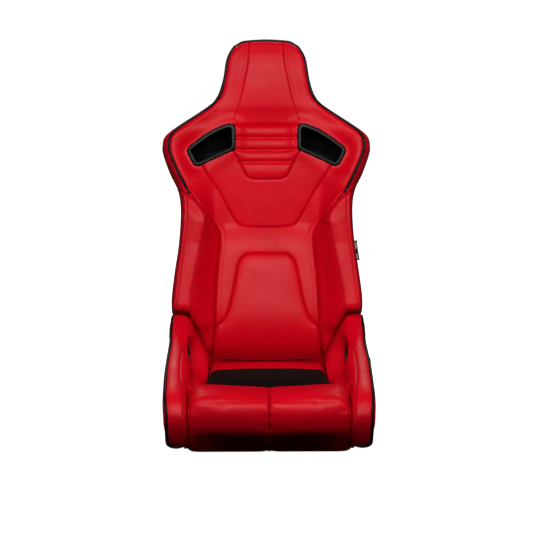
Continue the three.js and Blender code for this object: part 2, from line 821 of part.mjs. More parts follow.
// Piping round the headrest and shoulders, half of its run as (x, w).
const PIPING = [
  [206, 432],
  [236, 482],
  [257, 535],
  [259, 566],
  [249, 592],
  [224, 611],
  [178, 643],
  [142, 669],
  [123, 695],
  [112, 738],
  [104, 793],
  [88, 823],
  [58, 840],
  [0, 842],
];

function backPiping(radius) {
  const onFront = ([x, w]) => {
    const row = ROWS.find((r) => r.y >= w) ?? ROWS.at(-1);
    return [x, frontDepth(x, w, Math.max(row.x, x)), w];
  };
  const half = PIPING.map(onFront);
  const other = half.slice(0, -1).map(([x, d, w]) => [-x, d, w]);
  return tube([...other, ...half.reverse()], radius, 5, 60);
}

addBaseFrame();
addRecliners();
addLever();
addCushion();
addFrontRoll();
addBaseBolsters();
addPadding();
addBackFrame();
addBackTrim();

export default seat;
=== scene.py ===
"""The looks of a reclining racing seat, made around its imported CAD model.

Lengths inside the modelling functions are in millimetres. The backrest is modelled in its own frame.
Its points are (x, h, w): x to the right, h forwards, and w up the back from the recliner's axis.
"""

import json
import math

import bmesh
import bpy
import numpy as np
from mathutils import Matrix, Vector
from mathutils.bvhtree import BVHTree


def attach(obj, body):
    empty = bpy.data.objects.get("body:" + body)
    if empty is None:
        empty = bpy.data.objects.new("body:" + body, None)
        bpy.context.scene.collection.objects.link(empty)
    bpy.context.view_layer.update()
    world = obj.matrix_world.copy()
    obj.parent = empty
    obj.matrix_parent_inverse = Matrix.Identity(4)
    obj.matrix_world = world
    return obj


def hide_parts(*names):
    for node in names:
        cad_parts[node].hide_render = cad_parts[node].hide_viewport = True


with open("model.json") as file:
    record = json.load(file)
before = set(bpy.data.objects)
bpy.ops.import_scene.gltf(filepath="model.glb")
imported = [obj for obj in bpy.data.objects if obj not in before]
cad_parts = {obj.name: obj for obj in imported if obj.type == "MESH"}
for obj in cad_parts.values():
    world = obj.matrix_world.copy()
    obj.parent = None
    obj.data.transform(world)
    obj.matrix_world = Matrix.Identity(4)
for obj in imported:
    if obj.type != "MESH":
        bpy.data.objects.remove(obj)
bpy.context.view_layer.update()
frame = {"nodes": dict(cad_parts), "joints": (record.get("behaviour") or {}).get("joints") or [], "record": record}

MM = 0.001
PIVOT = next(j for j in frame["joints"] if j["name"] == "backrest_recline")["pos_m"]
BACK_ANGLE = math.radians(17)
CENTRE_Y = 5.5  # the base is drawn from a line this far ahead of the frame's origin, in mm
SIDES = (("left", -1), ("right", 1))


# ---- Numbers and curves ----
def ease(start, end, value):
    """0 before start, 1 after end, and a smooth rise between them."""
    t = np.clip((value - start) / (end - start), 0, 1)
    return t * t * (3 - 2 * t)


def spline(points, count):
    """count points along a smooth curve through the given ones, evenly spaced."""
    p = np.asarray(points, float)
    p = np.vstack([2 * p[0] - p[1], p, 2 * p[-1] - p[-2]])
    t = np.linspace(0, 1, 24, endpoint=False)[:, None]
    runs = []
    for a, b, c, d in zip(p[:-3], p[1:-2], p[2:-1], p[3:]):
        bend, twist = 2 * a - 5 * b + 4 * c - d, 3 * b - a - 3 * c + d
        runs.append(0.5 * (2 * b + (c - a) * t + bend * t**2 + twist * t**3))
    runs.append(p[-2][None, :])
    return resample(np.vstack(runs), count)


def resample(points, count, measured=3):
    """count rows evenly spaced along a run, whose length is measured on its first columns."""
    steps = np.linalg.norm(np.diff(points[:, :measured], axis=0), axis=1)
    length = np.concatenate([[0], np.cumsum(steps)])
    at = np.linspace(0, length[-1], count)
    return np.stack([np.interp(at, length, column) for column in points.T], axis=1)


def distance_to(curve, x, w):
    """Distance in the (x, w) plane from each point to a curve given as dense points."""
    best = np.full(np.shape(x), np.inf)
    a, b = curve[:-1], curve[1:]
    for (ax, aw), (bx, bw) in zip(a, b):
        dx, dw = bx - ax, bw - aw
        t = np.clip(((x - ax) * dx + (w - aw) * dw) / (dx * dx + dw * dw + 1e-9), 0, 1)
        best = np.minimum(best, (x - ax - t * dx) ** 2 + (w - aw - t * dw) ** 2)
    return np.sqrt(best)


def x_at(curve, w, left=None):
    """The curve's x at each w, or left where w is below the curve."""
    rising = curve[np.argsort(curve[:, 1])]
    return np.interp(w, rising[:, 1], rising[:, 0], left=left)


# ---- Meshes ----
def new_mesh(name, vertices, faces, merge=False):
    """A mesh whose faces look outwards, with its coincident points merged if asked."""
    mesh = bpy.data.meshes.new(name)
    mesh.from_pydata(np.asarray(vertices).tolist(), [], faces)
    if merge:
        mesh.validate()
    bm = bmesh.new()
    bm.from_mesh(mesh)
    if merge:
        bmesh.ops.remove_doubles(bm, verts=bm.verts, dist=1e-6)
    bmesh.ops.recalc_face_normals(bm, faces=bm.faces)
    bm.to_mesh(mesh)
    bm.free()
    return mesh


def new_object(name, data):
    obj = bpy.data.objects.new(name, data)
    bpy.context.scene.collection.objects.link(obj)
    return obj


def add_piece(name, mesh, material, body):
    """A smooth-shaded piece of the seat that rides on a CAD body."""
    mesh.polygons.foreach_set("use_smooth", [True] * len(mesh.polygons))
    mesh.materials.append(material)
    piece = new_object(name, mesh)
    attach(piece, body)
    return piece


def add_mesh(name, vertices, faces, material, body):
    """A piece from points in metres."""
    return add_piece(name, new_mesh(name, vertices, faces, merge=True), material, body)


def applied(obj):
    """A new mesh that holds what an object's modifiers make of it."""
    graph = bpy.context.evaluated_depsgraph_get()
    return bpy.data.meshes.new_from_object(obj.evaluated_get(graph))


def mesh_data(mesh):
    """A mesh's points, their normals, and its faces."""
    points = np.array([v.co[:] for v in mesh.vertices])
    normals = np.array([v.normal[:] for v in mesh.vertices])
    return points, normals, [list(p.vertices) for p in mesh.polygons]


def grid_faces(rows, columns, wrap_rows=False, wrap_columns=False):
    r = np.arange(rows if wrap_rows else rows - 1)
    c = np.arange(columns if wrap_columns else columns - 1)
    r, c = np.meshgrid(r, c, indexing="ij")
    r2, c2 = (r + 1) % rows, (c + 1) % columns
    quads = np.stack([r * columns + c, r * columns + c2, r2 * columns + c2, r2 * columns + c], axis=-1)
    return quads.reshape(-1, 4)


def skin_faces(rows, columns):
    """Faces of a closed skin over rings, with a flat end at each end."""
    faces = grid_faces(rows, columns, wrap_columns=True).tolist()
    return [*faces, list(range(columns))[::-1], list(range((rows - 1) * columns, rows * columns))]


def loft(name, rings, material, body, closed=False):
    """A skin over rings of points in metres, joined end to end or with flat ends."""
    shape = rings.shape[:2]
    faces = grid_faces(*shape, wrap_rows=True, wrap_columns=True).tolist() if closed else skin_faces(*shape)
    return add_mesh(name, rings.reshape(-1, 3), faces, material, body)


def tube(name, path, radius, material, body, sides=12):
    """A round tube along a path in metres, with rounded ends."""
    tangent = np.gradient(path, axis=0)
    tangent /= np.linalg.norm(tangent, axis=1, keepdims=True)
    normal = np.zeros_like(path)
    seed = np.cross(tangent[0], [0.3, 0.5, 0.8])
    for i in range(len(path)):
        seed = seed - tangent[i] * seed.dot(tangent[i])
        seed /= np.linalg.norm(seed)
        normal[i] = seed
    binormal = np.cross(tangent, normal)
    angle = np.linspace(0, 2 * np.pi, sides, endpoint=False)[:, None]
    rings = path[:, None] + radius * (np.cos(angle) * normal[:, None] + np.sin(angle) * binormal[:, None])
    ends = []
    for where, way in ((0, -1), (-1, 1)):
        dome = []
        for t in (0.5, 0.85):
            centre = path[where] + way * tangent[where] * radius * t
            dome.append(centre + (rings[where] - path[where]) * math.sqrt(1 - t * t))
        ends.append(np.array(dome))
    return loft(name, np.concatenate([ends[0][::-1], rings, ends[1]]), material, body)


def skin_tree(piece):
    """A piece's skin, for finding where a ray meets it."""
    mesh = piece.data
    return BVHTree.FromPolygons([v.co[:] for v in mesh.vertices], [p.vertices[:] for p in mesh.polygons])


def back_to_world(points):
    """Points (x, h, w) of the backrest's frame, in mm, to the seat's frame in metres."""
    x, h, w = np.asarray(points, float).reshape(-1, 3).T
    sin, cos = math.sin(BACK_ANGLE), math.cos(BACK_ANGLE)
    y = PIVOT[1] + (w * sin - h * cos) * MM
    z = PIVOT[2] + (w * cos + h * sin) * MM
    return np.stack([x * MM, y, z], axis=1).reshape(np.shape(points))


# ---- Materials ----
class Shader:
    """A material with a Principled shader, built up a node at a time."""

    def __init__(self, name, color, roughness, **sockets):
        self.material = bpy.data.materials.new(name)
        self.material.use_nodes = True
        self.tree = self.material.node_tree
        self.principled = self.tree.nodes["Principled BSDF"]
        self.set(Base_Color=(*color, 1), Roughness=roughness, **sockets)
        self.place = self.tree.nodes.new("ShaderNodeTexCoord").outputs["Object"]

    def set(self, **sockets):
        for key, value in sockets.items():
            self.principled.inputs[key.replace("_", " ")].default_value = value

    def node(self, kind, inputs=None, **settings):
        node = self.tree.nodes.new("ShaderNode" + kind)
        for key, value in settings.items():
            setattr(node, key, value)
        for key, value in (inputs or {}).items():
            if isinstance(value, bpy.types.NodeSocket):
                self.tree.links.new(value, node.inputs[key])
            else:
                node.inputs[key].default_value = value
        return node

    def noise(self, scale, detail, distortion=0.0):
        inputs = {"Vector": self.place, "Scale": scale, "Detail": detail, "Distortion": distortion}
        return self.node("TexNoise", inputs).outputs["Fac"]

    def spread(self, value, low, high, dark=0.3, light=0.7):
        """Turns a texture's value into numbers between low and high."""
        inputs = {"Value": value, "From Min": dark, "From Max": light, "To Min": low, "To Max": high}
        return self.node("MapRange", inputs).outputs["Result"]

    def tint(self, value, dark, light):
        mix = self.node("Mix", {0: value, 6: (*dark, 1), 7: (*light, 1)}, data_type="RGBA")
        self.tree.links.new(mix.outputs[2], self.principled.inputs["Base Color"])

    def rough(self, scale, detail, low, high):
        """Roughness that goes between low and high over a noise."""
        value = self.spread(self.noise(scale, detail), low, high)
        self.tree.links.new(value, self.principled.inputs["Roughness"])

    def bump(self, height, distance, strength, below=None):
        inputs = {"Height": height, "Distance": distance, "Strength": strength}
        if below is not None:
            inputs["Normal"] = below
        out = self.node("Bump", inputs).outputs["Normal"]
        self.tree.links.new(out, self.principled.inputs["Normal"])
        return out


def leatherette(name, color, roughness=0.4):
    shader = Shader(name, color, roughness, Specular_IOR_Level=0.115)
    deep = tuple(0.86 * c for c in color)
    shader.tint(shader.spread(shader.noise(9, 4), 0, 1), deep, color)
    shader.rough(22, 4, roughness - 0.05, roughness + 0.06)
    pores = shader.node("TexVoronoi", {"Vector": shader.place, "Scale": 750.0, "Randomness": 0.9})
    soft = shader.bump(shader.noise(60, 3), 0.0004, 0.25)
    shader.bump(pores.outputs["Distance"], 0.00012, 0.35, below=soft)
    return shader.material


def suede(name, color):
    shader = Shader(name, color, 0.95, Specular_IOR_Level=0.05, Sheen_Weight=0.02, Sheen_Roughness=0.5)
    shader.set(Sheen_Tint=(0.5, 0.42, 0.4, 1))
    nap = shader.noise(420, 5, 0.6)
    shader.tint(shader.spread(nap, 0, 1), tuple(0.5 * c for c in color), tuple(1.6 * c for c in color))
    shader.bump(shader.noise(900, 4), 0.0004, 0.5)
    return shader.material


def moulded(name, color, roughness, grain=1400.0, gloss=0.3):
    shader = Shader(name, color, roughness, Specular_IOR_Level=gloss)
    shader.rough(40, 4, roughness - 0.05, roughness + 0.08)
    shader.bump(shader.noise(grain, 3), 0.00008, 0.5)
    return shader.material


def powder_coat(name, color):
    shader = Shader(name, color, 0.42, Metallic=0.0, Coat_Weight=0.25, Coat_Roughness=0.2)
    shader.rough(35, 4, 0.36, 0.5)
    shader.bump(shader.noise(1900, 2), 0.0001, 0.5)
    return shader.material


def zinc(name):
    shader = Shader(name, (0.5, 0.51, 0.54), 0.32, Metallic=1.0)
    shader.tint(shader.spread(shader.noise(70, 5), 0, 1), (0.38, 0.39, 0.42), (0.58, 0.59, 0.6))
    shader.rough(160, 5, 0.24, 0.42)
    shader.bump(shader.noise(600, 3), 0.00005, 0.4)
    return shader.material


def woven(name, color, threads=900.0):
    shader = Shader(name, color, 0.85, Specular_IOR_Level=0.2)
    split = shader.node("SeparateXYZ", {"Vector": shader.place})
    pitch = threads * 2 * math.pi
    waves = []
    for axis in ("Y", "Z"):
        scaled = shader.node("Math", {0: split.outputs[axis], 1: pitch}, operation="MULTIPLY")
        waves.append(shader.node("Math", {0: scaled.outputs[0]}, operation="SINE").outputs[0])
    weave = shader.node("Math", {0: waves[0], 1: waves[1]}, operation="MULTIPLY").outputs[0]
    shader.tint(shader.spread(weave, 0, 1, -1, 1), tuple(0.7 * c for c in color), color)
    shader.bump(weave, 0.0001, 0.6)
    return shader.material


RED = (0.68, 0.0004, 0.0115)
red_leather = leatherette("red_leatherette", RED)
black_suede = suede("black_suede", (0.0055, 0.003, 0.0028))
black_vinyl = moulded("black_piping_vinyl", (0.0022, 0.0024, 0.0022), 0.42, gloss=0.16)
black_plastic = moulded("black_plastic", (0.0035, 0.0033, 0.003), 0.36, gloss=0.13)
flap_cloth = woven("black_flap_cloth", (0.0012, 0.0012, 0.0012))
thread = moulded("stitch_thread", (0.05, 0.0006, 0.0015), 0.7, 3000.0)
dark_seam = leatherette("red_seam", (0.2, 0.0004, 0.004), 0.6)
coated_steel = powder_coat("black_powder_coat", (0.012, 0.012, 0.014))
zinc_steel = zinc("zinc_steel")
tag_white = woven("tag_white_cloth", (0.62, 0.62, 0.58), 1500.0)
tag_black = woven("tag_black_cloth", (0.012, 0.012, 0.012), 1500.0)
tag_red = woven("tag_red_cloth", (0.45, 0.01, 0.02), 1500.0)


# ---- Backrest: outline, seams and the height of its padding ----
TOP_W = 845
BOTTOM_W = -46
OUTLINE = spline(
    [
        (182, -46), (190, -34), (190, 42), (208, 61), (238, 79), (256, 99), (259, 125), (258, 155),
        (250, 220), (239, 295),
        (234, 380), (241, 436), (263, 484), (281, 534), (284, 560), (274, 590), (224, 627), (163, 664),
        (135, 695),
        (119, 740), (108, 793), (91, 826), (77, 837), (59, TOP_W), (0, TOP_W + 4),
    ],
    420,
)
PIPING = spline(
    [
        (209, 428), (236, 480), (259, 533), (263, 560), (256, 587), (227, 613), (180, 645), (143, 671),
        (124, 696),
        (113, 738), (104, 793), (89, 823), (75, 833), (58, 840), (0, 844),
    ],
    200,
)
BOLSTER_EDGE = spline(
    [
        (152, BOTTOM_W), (148, 2), (141, 63), (140, 124), (137, 190), (131, 255), (127, 300), (129, 324),
        (141, 344),
        (158, 370), (176, 390), (191, 408), (209, 428),
    ],
    140,
)
BOLSTER_TOP = spline([(191, 408), (209, 421), (225, 430), (243, 437)], 24)
INNER_STITCH = spline(
    [(154, -6), (180, 59), (195, 92), (204, 116), (205, 138), (201, 168), (190, 223), (178, 283),
     (167, 335), (158, 368)],
    90,
)
OUTER_STITCH = spline([(243, 90), (241, 133), (235, 186), (227, 253), (217, 329), (213, 388),
(216, 424)], 90)
HEAD_SEAM = spline([(44, 838), (46, 826), (50, 778), (58, 739), (68, 692), (80, 649), (93, 619)], 60)
FLUTES = (613, 578.5, 544.5, 512.5)
FLUTE_PANEL = spline([(0, 466), (31, 466), (49, 470), (59, 482), (72, 511), (88, 540), (90, 552)], 50)
SHIELD = spline(
    [(0, 338), (53, 340), (74, 345.5), (87, 358), (103, 387), (123, 426), (147, 462), (174, 503)], 70
)
LUMBAR = spline(
    [(0, 264), (50, 263.5), (62, 258), (72, 248), (79, 230), (85, 200), (95, 147), (106, 107), (118, 85),
     (143, 62)],
    70,
)
MIDDLE = spline(
    [
        (BOTTOM_W, 4), (-30, 15), (-12, 34), (9, 54), (31, 67.5), (55, 75.5), (85, 79), (120, 78),
        (200, 70), (290, 61),
        (338, 51), (360, 51), (420, 58), (500, 66), (590, 65), (616, 64), (640, 69), (670, 77), (730, 82),
        (800, 78),
        (850, 62),
    ],
    300,
)
EDGE_HEIGHT = 10  # of the padding at its outline
# Rows of the backrest where something ends:
PIPING_FOOT, SHIELD_FOOT, SHIELD_TOP, LUMBAR_TOP, FLUTES_FOOT = 428, 338, 545, 264, 466


def middle_height(w):
    return np.interp(w, MIDDLE[:, 0], MIDDLE[:, 1])


def half_width(v):
    """Half the backrest's width at row v of its mesh."""
    return x_at(OUTLINE[OUTLINE[:, 1] <= TOP_W], v)


def boundary(v):
    """Where the mesh's inner zone ends: the side bolster's seam below, and the piping above it."""
    low = x_at(BOLSTER_EDGE, v)
    high = x_at(PIPING[PIPING[:, 1] < 800], v)
    high = np.where(v > 770, half_width(v) - 4.5, high)
    return np.minimum(np.where(v < PIPING_FOOT, low, high), half_width(v) - 4)


def padding(x, w):
    """Height of the padding before its seams are sewn."""
    across = np.abs(x)
    base = middle_height(w)
    shoulder = np.interp(w, (290, 500), (61, 66)) - base
    base = base + np.where((w > 290) & (w < 500), shoulder, 0) * ease(100, 165, across)

    # The side bolsters rise from start to crest, then dome a little on their way out.
    start = np.minimum(x_at(BOLSTER_EDGE, w), 152 - 11 * ease(60, 344, w))
    crest = np.maximum(x_at(INNER_STITCH, w), start + 8 + 16 * ease(60, 330, w) + 40 * ease(340, 440, w))
    bolster = 62 * ease(-60, 130, w) * (1 - ease(345, 540, w))
    bolster = bolster * (1 - ease(crest + 3, crest + 17, across) * (1 - ease(100, 115, w)))
    inner_face = np.clip((across - start) / (crest - start), 0, 1)
    crisp = 0.6 * (1 - ease(325, 375, w))
    rise = crisp * inner_face + (1 - crisp) * ease(0, 1, inner_face)
    dome = 1 + 0.05 * np.sin(np.pi * np.clip((across - crest) / 45, 0, 1))
    base = base + bolster * rise * dome

    # The shoulders come forward, the foot falls back at its corners, and so does the headrest at its sides.
    base = base + 15 * ease(430, 520, w) * (1 - ease(590, 700, w)) * ease(90, 240, across)
    base = base - 19 * ease(125, 165, across) * ease(-40, -5, w) * (1 - ease(40, 85, w))
    base = base - 26 * ease(140, 215, across) * (1 - ease(60, 130, w)) * ease(-10, 40, w)
    base = base - 12 * ease(630, 720, w) * np.clip(across / 115, 0, 1.1) ** 2.4
    return base


def rim(w):
    """Width of the side panel, from the outline in."""
    return 15 + 9 * ease(400, 460, w) - 13 * ease(620, 700, w)


BEZEL_X, BEZEL_H = 140, 70  # a point of the right-hand bezel's plane
BEZEL_TURN = 0.06  # in radians, outwards


def bezel_plane(x):
    """Height of the harness bezels' plane."""
    return BEZEL_H + (BEZEL_X - np.abs(x)) * math.tan(BEZEL_TURN)


SLOT = [(92, 551.5), (189, 507), (208.5, 545), (167, 576.5), (137.5, 594), (115, 603.5), (92, 610)]
SLOT_RADIUS = 8
BEZEL_WIDTH = 10
BEZEL_REACH = 20  # the covers level off this far from the bezels
HOLE_MARGIN = 4.5  # the covers are cut this far outside the slot, under the bezel


def slot_outline(grow=0.0):
    """Points and outward normals round a harness slot with rounded corners, moved out by grow."""
    corners = np.asarray(SLOT, float)
    run = []
    count = len(corners)
    for i, corner in enumerate(corners):
        before, after = corners[i - 1] - corner, corners[(i + 1) % count] - corner
        before /= np.linalg.norm(before)
        after /= np.linalg.norm(after)
        half_angle = math.acos(np.clip(before.dot(after), -1, 1)) / 2
        bisector = (before + after) / np.linalg.norm(before + after)
        centre = corner + bisector * SLOT_RADIUS / math.sin(half_angle)
        first = math.atan2(*(corner + before * SLOT_RADIUS / math.tan(half_angle) - centre)[::-1])
        turn = math.pi - 2 * half_angle
        for angle in np.linspace(first, first + turn, 9):
            way = np.array([math.cos(angle), math.sin(angle)])
            run.append([*(centre + way * (SLOT_RADIUS + grow)), *way])
    run.append(run[0])
    run = np.array(run)
    lengths = np.linalg.norm(np.diff(run[:, :2], axis=0), axis=1).sum()
    run = resample(run, int(lengths / 2.0) + 1, 2)[:-1]
    run[:, 2:] /= np.linalg.norm(run[:, 2:], axis=1, keepdims=True)
    return run[:, :2], run[:, 2:]


def slot_loop(grow):
    """The slot's outline moved out by grow, as a closed loop."""
    loop, _ = slot_outline(grow)
    return np.vstack([loop, loop[0]])


SLOT_EDGE, SLOT_OUT = slot_outline()
BEZEL_LOOP = slot_loop(BEZEL_WIDTH)


def inside(loop, x, w):
    """Whether points lie inside a closed loop in the (x, w) plane."""
    odd = np.zeros(np.shape(x), bool)
    for (ax, aw), (bx, bw) in zip(loop[:-1], loop[1:]):
        crosses = (aw > w) != (bw > w)
        at = ax + (w - aw) * (bx - ax) / (bw - aw + 1e-12)
        odd ^= crosses & (x < at)
    return odd


def groove(distance, depth, width):
    return -depth * np.exp(-((distance / width) ** 2))


def puff(distance, height, reach):
    return height * (1 - np.exp(-distance / reach))


def in_lumbar(across, w):
    return (w < LUMBAR_TOP) & (across < x_at(LUMBAR, w, 400)) & (across < x_at(BOLSTER_EDGE, w))


def in_shield(across, w):
    return (w > SHIELD_FOOT) & (across < x_at(SHIELD, w, 0))


def in_flutes(across, w):
    return (w > FLUTES_FOOT) & (w < FLUTES[0]) & (across < x_at(FLUTE_PANEL, w, 0))


def height(x, w):
    """Height of the finished cover at (x, w)."""
    across = np.abs(x)
    top = padding(x, w)
    t = np.clip(distance_to(OUTLINE, across, w) / rim(w), 0, 1)
    drop = np.sqrt(1 - (1 - t) ** 2)

    slot = np.where(inside(BEZEL_LOOP, across, w), 0, distance_to(BEZEL_LOOP, across, w))
    near = np.exp(-((slot / BEZEL_REACH) ** 2))
    top = top * (1 - near) + (bezel_plane(x) + 1.5) * near

    lumbar = distance_to(LUMBAR, across, w)
    between_bolsters = across < x_at(BOLSTER_EDGE, w)
    around = puff(lumbar, 3, 14) * (1 - ease(262, 334, w)) * between_bolsters
    top = top + np.where(in_lumbar(across, w), puff(lumbar, 7, 16), around)
    top = top + groove(lumbar, 3.0, 2.4) * between_bolsters
    shield = distance_to(SHIELD, across, w)
    within = puff(shield, 2.5, 9) * (1 - ease(500, SHIELD_TOP, w))
    around = puff(shield, 2, 9) * (1 - ease(440, 520, w))
    top = top + np.where(in_shield(across, w), within, around) + groove(shield, 2.4, 2.0)
    return EDGE_HEIGHT + (top + flutes(across, w) + seam_lines(across, w) - EDGE_HEIGHT) * drop


def flutes(across, w):
    """The swell of the panel between the slots, and the grooves across it and round it."""
    total = groove(distance_to(FLUTE_PANEL, across, w), 2.4, 3.0)
    for line in FLUTES:
        beyond = np.clip(across - x_at(FLUTE_PANEL, line, 0), 0, None)
        total = total + groove(np.hypot(w - line, beyond * 1.4), 4.2, 4.2)
    levels = (FLUTES_FOOT, *FLUTES[::-1])
    for low, high in zip(levels[:-1], levels[1:]):
        swell = np.clip((w - low) / (high - low), 0, 1)
        side = np.clip((np.minimum(x_at(FLUTE_PANEL, w, 0), 79) - across) / 6, 0, 1)
        swell = 4.2 * np.sin(np.pi * swell) ** 0.8 * ease(0, 1, side)
        total = total + np.where(in_flutes(across, w), swell, 0)
    return total


def seam_lines(across, w):
    """Grooves of the plain seams, with the fabric a little full on both sides of them."""
    total = np.zeros(np.shape(across))
    for curve, depth, width in (
        (HEAD_SEAM, 1.5, 1.7),
        (BOLSTER_EDGE, 4.5, 3.0),
        (BOLSTER_TOP, 5.0, 2.8),
        (INNER_STITCH, 1.2, 1.7),
        (OUTER_STITCH, 1.2, 1.7),
        (PIPING, 3.0, 4.0),
    ):
        distance = distance_to(curve, across, w)
        full = 0.35 * depth * np.exp(-(((distance - 3 * width) / (2 * width)) ** 2))
        total = total + groove(distance, depth, width) + full
    return total


def crown(v, share):
    """How far the rows near the top rise in their middle, where share is 0."""
    return 4 * ease(760, TOP_W, v) * (1 - share**2)


ROW_STEP = 2.6
INNER_COLUMNS = 150
OUTER_COLUMNS = 34


def backrest_grid():
    """(x, w) of the backrest's mesh, whose columns follow the bolsters' seams and the piping."""
    rows = int((TOP_W - BOTTOM_W) / ROW_STEP)
    v = np.linspace(BOTTOM_W + 0.5, TOP_W, rows)[:, None]
    edge, half = boundary(v), half_width(v)
    inner = np.linspace(-1, 1, INNER_COLUMNS)[None, :] * edge
    outer = np.sin(np.linspace(0, np.pi / 2, OUTER_COLUMNS + 1))[None, 1:]
    right = edge + outer * (half - edge)
    x = np.concatenate([-right[:, ::-1], inner, right], axis=1)
    return x, v + crown(v, x / half)


def centres(grid):
    """The middle of each cell of a grid of numbers."""
    return (grid[:-1, :-1] + grid[1:, :-1] + grid[:-1, 1:] + grid[1:, 1:]) / 4


def heightfield(name, x, w, h, keep, floor=0.5):
    """A closed piece of the backrest's padding: the kept faces of the grid, side walls and a flat back."""
    quads = grid_faces(*x.shape)[keep.reshape(-1)]
    used = np.unique(quads)
    count = len(used)
    lookup = np.full(x.size, -1)
    lookup[used] = np.arange(count)
    quads = lookup[quads]
    front = np.stack([x.ravel()[used], h.ravel()[used], w.ravel()[used]], axis=1)
    back = front.copy()
    back[:, 1] = floor
    edges = np.concatenate([quads[:, [i, (i + 1) % 4]] for i in range(4)])
    key = np.sort(edges, axis=1)
    _, first, uses = np.unique(key, axis=0, return_index=True, return_counts=True)
    rim = edges[first[uses == 1]]
    walls = np.column_stack([rim[:, 1], rim[:, 0], rim[:, 0] + count, rim[:, 1] + count])
    faces = np.concatenate([quads, quads[:, ::-1] + count, walls])
    mesh = new_mesh(name, back_to_world(np.concatenate([front, back])), faces.tolist())
    obj = add_piece(name, mesh, red_leather, "backrest")
    return obj


def add_back_covers():
    x, w = backrest_grid()
    h = height(x, w)
    cx, cw = centres(x), centres(w)
    across = np.abs(cx)
    hole = inside(slot_loop(HOLE_MARGIN), across, cw)
    fluted = in_flutes(across, cw) & ~hole
    shield = in_shield(across, cw) & (cw < SHIELD_TOP) & (across < SHIELD[-1, 0]) & ~hole & ~fluted
    lumbar = in_lumbar(across, cw)
    seam = np.interp(across, BOLSTER_TOP[:, 0], BOLSTER_TOP[:, 1])
    bolster_top = np.where(across < BOLSTER_TOP[0, 0], PIPING_FOOT, seam)
    bolsters = (across > boundary(cw)) & (cw < bolster_top)
    main = ~(hole | fluted | shield | lumbar | bolsters)
    front = heightfield("back_main_cover", x, w, h, main)
    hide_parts("headrest_pad", "upper_back_pad")
    heightfield("fluted_panel", x, w, h, fluted)
    heightfield("shield_panel", x, w, h, shield)
    panel = heightfield("lumbar_panel", x, w, h, lumbar)
    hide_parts("lumbar_pad")
    for side, s in SIDES:
        piece = heightfield(f"back_bolster_cover_{side}", x, w, h, bolsters & (s * cx > 0))
        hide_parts(f"back_bolster_{side}")


add_back_covers()


# ---- Padding swollen by cloth simulation ----
def inflate(vertices, faces, pinned, voxel, cap, pressure=4.0):
    """Swells a closed skin (mm) as its filling does: held where pinned, and moved at most cap mm.

    The skin is remeshed first, with voxels of this size, and divided once at the end."""
    obj = new_object("skin", new_mesh("skin", np.asarray(vertices) * MM, faces))
    remesh = obj.modifiers.new("remesh", "REMESH")
    remesh.mode = "VOXEL"
    remesh.voxel_size = voxel * MM
    obj.data = applied(obj)
    obj.modifiers.clear()
    points = mesh_data(obj.data)[0] / MM
    pins = obj.vertex_groups.new(name="pins")
    pins.add([int(i) for i in np.flatnonzero(pinned(*points.T))], 1.0, "REPLACE")
    cloth = obj.modifiers.new("cloth", "CLOTH")
    cloth.settings.quality = 4
    cloth.settings.mass = 0.25
    cloth.settings.use_pressure = True
    cloth.settings.uniform_pressure_force = pressure
    cloth.settings.vertex_group_mass = "pins"
    cloth.settings.effector_weights.gravity = 0
    cloth.collision_settings.use_collision = False
    cloth.point_cache.frame_start, cloth.point_cache.frame_end = 1, 20
    for step in range(1, 21):
        bpy.context.scene.frame_set(step)
    graph = bpy.context.evaluated_depsgraph_get()
    swollen = obj.evaluated_get(graph).to_mesh()
    moved = mesh_data(swollen)[0] / MM - points
    length = np.linalg.norm(moved, axis=1, keepdims=True)
    points = points + moved * np.minimum(1, cap / np.maximum(length, 1e-9))
    obj.modifiers.clear()
    bpy.context.scene.frame_set(1)
    for vertex, point in zip(obj.data.vertices, points):
        vertex.co = point
    finer = obj.modifiers.new("finer", "SUBSURF")
    finer.levels = finer.render_levels = 1
    fine = applied(obj)
    bpy.data.objects.remove(obj)
    return mesh_data(fine)


def refine(points, faces, where, cuts):
    """Divides the edges of a skin where it needs a finer mesh."""
    bm = bmesh.new()
    verts = [bm.verts.new(p) for p in points]
    for face in faces:
        bm.faces.new([verts[i] for i in face])
    chosen = [e for e in bm.edges if all(where(*v.co) for v in e.verts)]
    bmesh.ops.subdivide_edges(bm, edges=chosen, cuts=cuts, use_grid_fill=True, smooth=0.0)
    bmesh.ops.triangulate(bm, faces=[f for f in bm.faces if len(f.verts) > 4])
    mesh = bpy.data.meshes.new("fine")
    bm.to_mesh(mesh)
    bm.free()
    return mesh_data(mesh)


def base_to_world(points):
    """The base's own places, in mm, to the seat's frame in metres."""
    points = np.array(points, float)
    points[..., 1] -= CENTRE_Y
    return points * MM


def rounded_ring(corners, radii, corner_steps=7, edge_steps=6):
    """Points round a closed polygon with rounded corners, as many on each corner and on each edge."""
    corners = np.asarray(corners, float)
    back, ahead = (np.roll(corners, way, axis=0) - corners for way in (1, -1))
    back_length, ahead_length = (
        np.maximum(np.linalg.norm(v, axis=1, keepdims=True), 1e-6) for v in (back, ahead)
    )
    reach = np.minimum(np.asarray(radii, float)[:, None], 0.48 * np.minimum(back_length, ahead_length))
    first = corners + back / back_length * reach
    last = corners + ahead / ahead_length * reach
    t = np.linspace(0, 1, corner_steps)[None, :, None]
    arcs = (1 - t) ** 2 * first[:, None] + 2 * t * (1 - t) * corners[:, None] + t**2 * last[:, None]
    t = np.linspace(0, 1, edge_steps + 2)[None, 1:-1, None]
    edges = last[:, None] * (1 - t) + np.roll(first, -1, axis=0)[:, None] * t
    return np.concatenate([arcs, edges], axis=1).reshape(-1, 2)


def end_inset(position, start, end, radius):
    """How far a ring at this position is drawn in so that the ends of its piece are round."""
    t = np.clip(min(position - start, end - position) / radius, 0, 1)
    return radius * (1 - np.sqrt(1 - (1 - t) ** 2))


